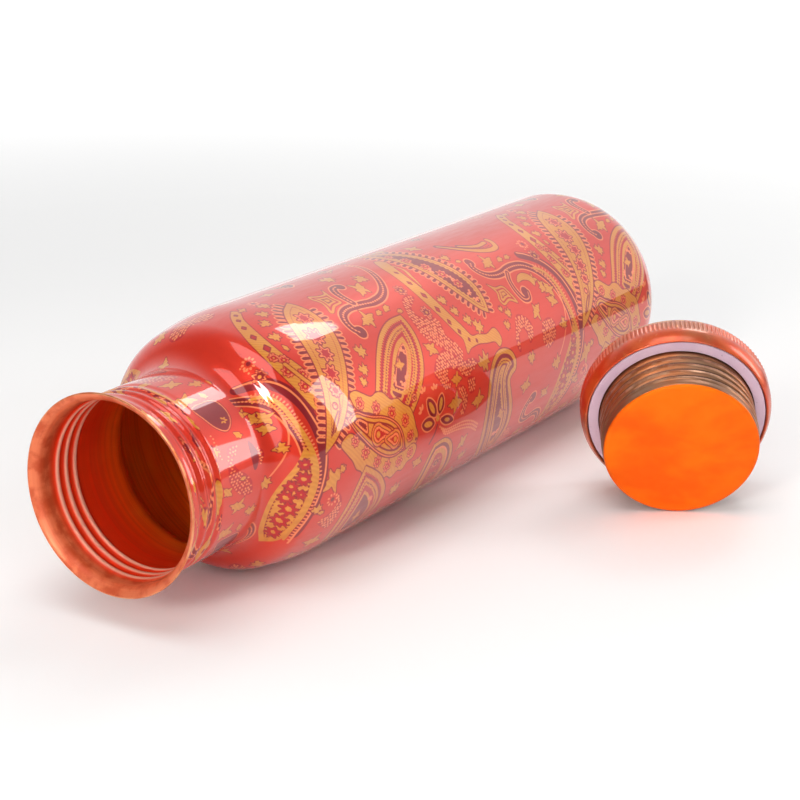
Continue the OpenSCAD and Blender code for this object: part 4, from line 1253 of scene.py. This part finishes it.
# the white table ends a little in front of the bottle: a dark card that only reflections see
a = np.radians(np.linspace(-178, -6, 60))
ring = [(r * math.cos(x), r * math.sin(x), 0.0006) for x in a for r in (0.34, 5.0)]
me = bpy.data.meshes.new("dark_card")
me.from_pydata(ring, [], [(2 * k, 2 * k + 1, 2 * k + 3, 2 * k + 2) for k in range(59)])
c = Nodes("dark_card")
c.bsdf.inputs["Base Color"].default_value = (0.03, 0.028, 0.028, 1)
c.set(Roughness=0.8)
me.materials.append(c.mat)
card = bpy.data.objects.new("dark_card", me)
bpy.context.scene.collection.objects.link(card)
card.visible_camera = card.visible_diffuse = card.visible_shadow = card.visible_transmission = False

# studio: a white sweep behind, a dimmer room in front
world = bpy.data.worlds.new("studio")
bpy.context.scene.world = world
world.use_nodes = True
t = world.node_tree
t.nodes.clear()
wo = t.nodes.new("ShaderNodeOutputWorld")
bg = t.nodes.new("ShaderNodeBackground")
t.links.new(bg.outputs[0], wo.inputs[0])
co = t.nodes.new("ShaderNodeTexCoord")
dot = t.nodes.new("ShaderNodeVectorMath")
dot.operation = "DOT_PRODUCT"
dot.inputs[1].default_value = (0.83, 0.50, -0.22)
t.links.new(co.outputs["Generated"], dot.inputs[0])
ramp = t.nodes.new("ShaderNodeMapRange")
ramp.interpolation_type = "SMOOTHSTEP"
for k, x in ((1, -0.25), (2, 0.55), (3, 0.20), (4, 1.0)):
    ramp.inputs[k].default_value = x
t.links.new(dot.outputs["Value"], ramp.inputs[0])
path = t.nodes.new("ShaderNodeLightPath")
seen = t.nodes.new("ShaderNodeMath")
seen.operation = "MAXIMUM"
t.links.new(path.outputs["Is Camera Ray"], seen.inputs[0])
t.links.new(ramp.outputs[0], seen.inputs[1])
t.links.new(seen.outputs[0], bg.inputs[1])
bg.inputs[0].default_value = (1.0, 1.0, 1.0, 1)

cam = bpy.data.cameras.new("camera")
cam.sensor_width, cam.lens = 36.0, 1902.81 / 800 * 36.0
cam.clip_start, cam.clip_end = 0.01, 30
camera = bpy.data.objects.new("camera", cam)
camera.location = Vector((-471.321, -264.275, 203.745)) * MM
camera.rotation_euler = Vector((0.807982, 0.506817, -0.300503)).to_track_quat("-Z", "Y").to_euler()
bpy.context.scene.collection.objects.link(camera)
bpy.context.scene.camera = camera
bpy.context.scene.view_settings.view_transform = "Standard"
bpy.context.scene.view_settings.look = "None"
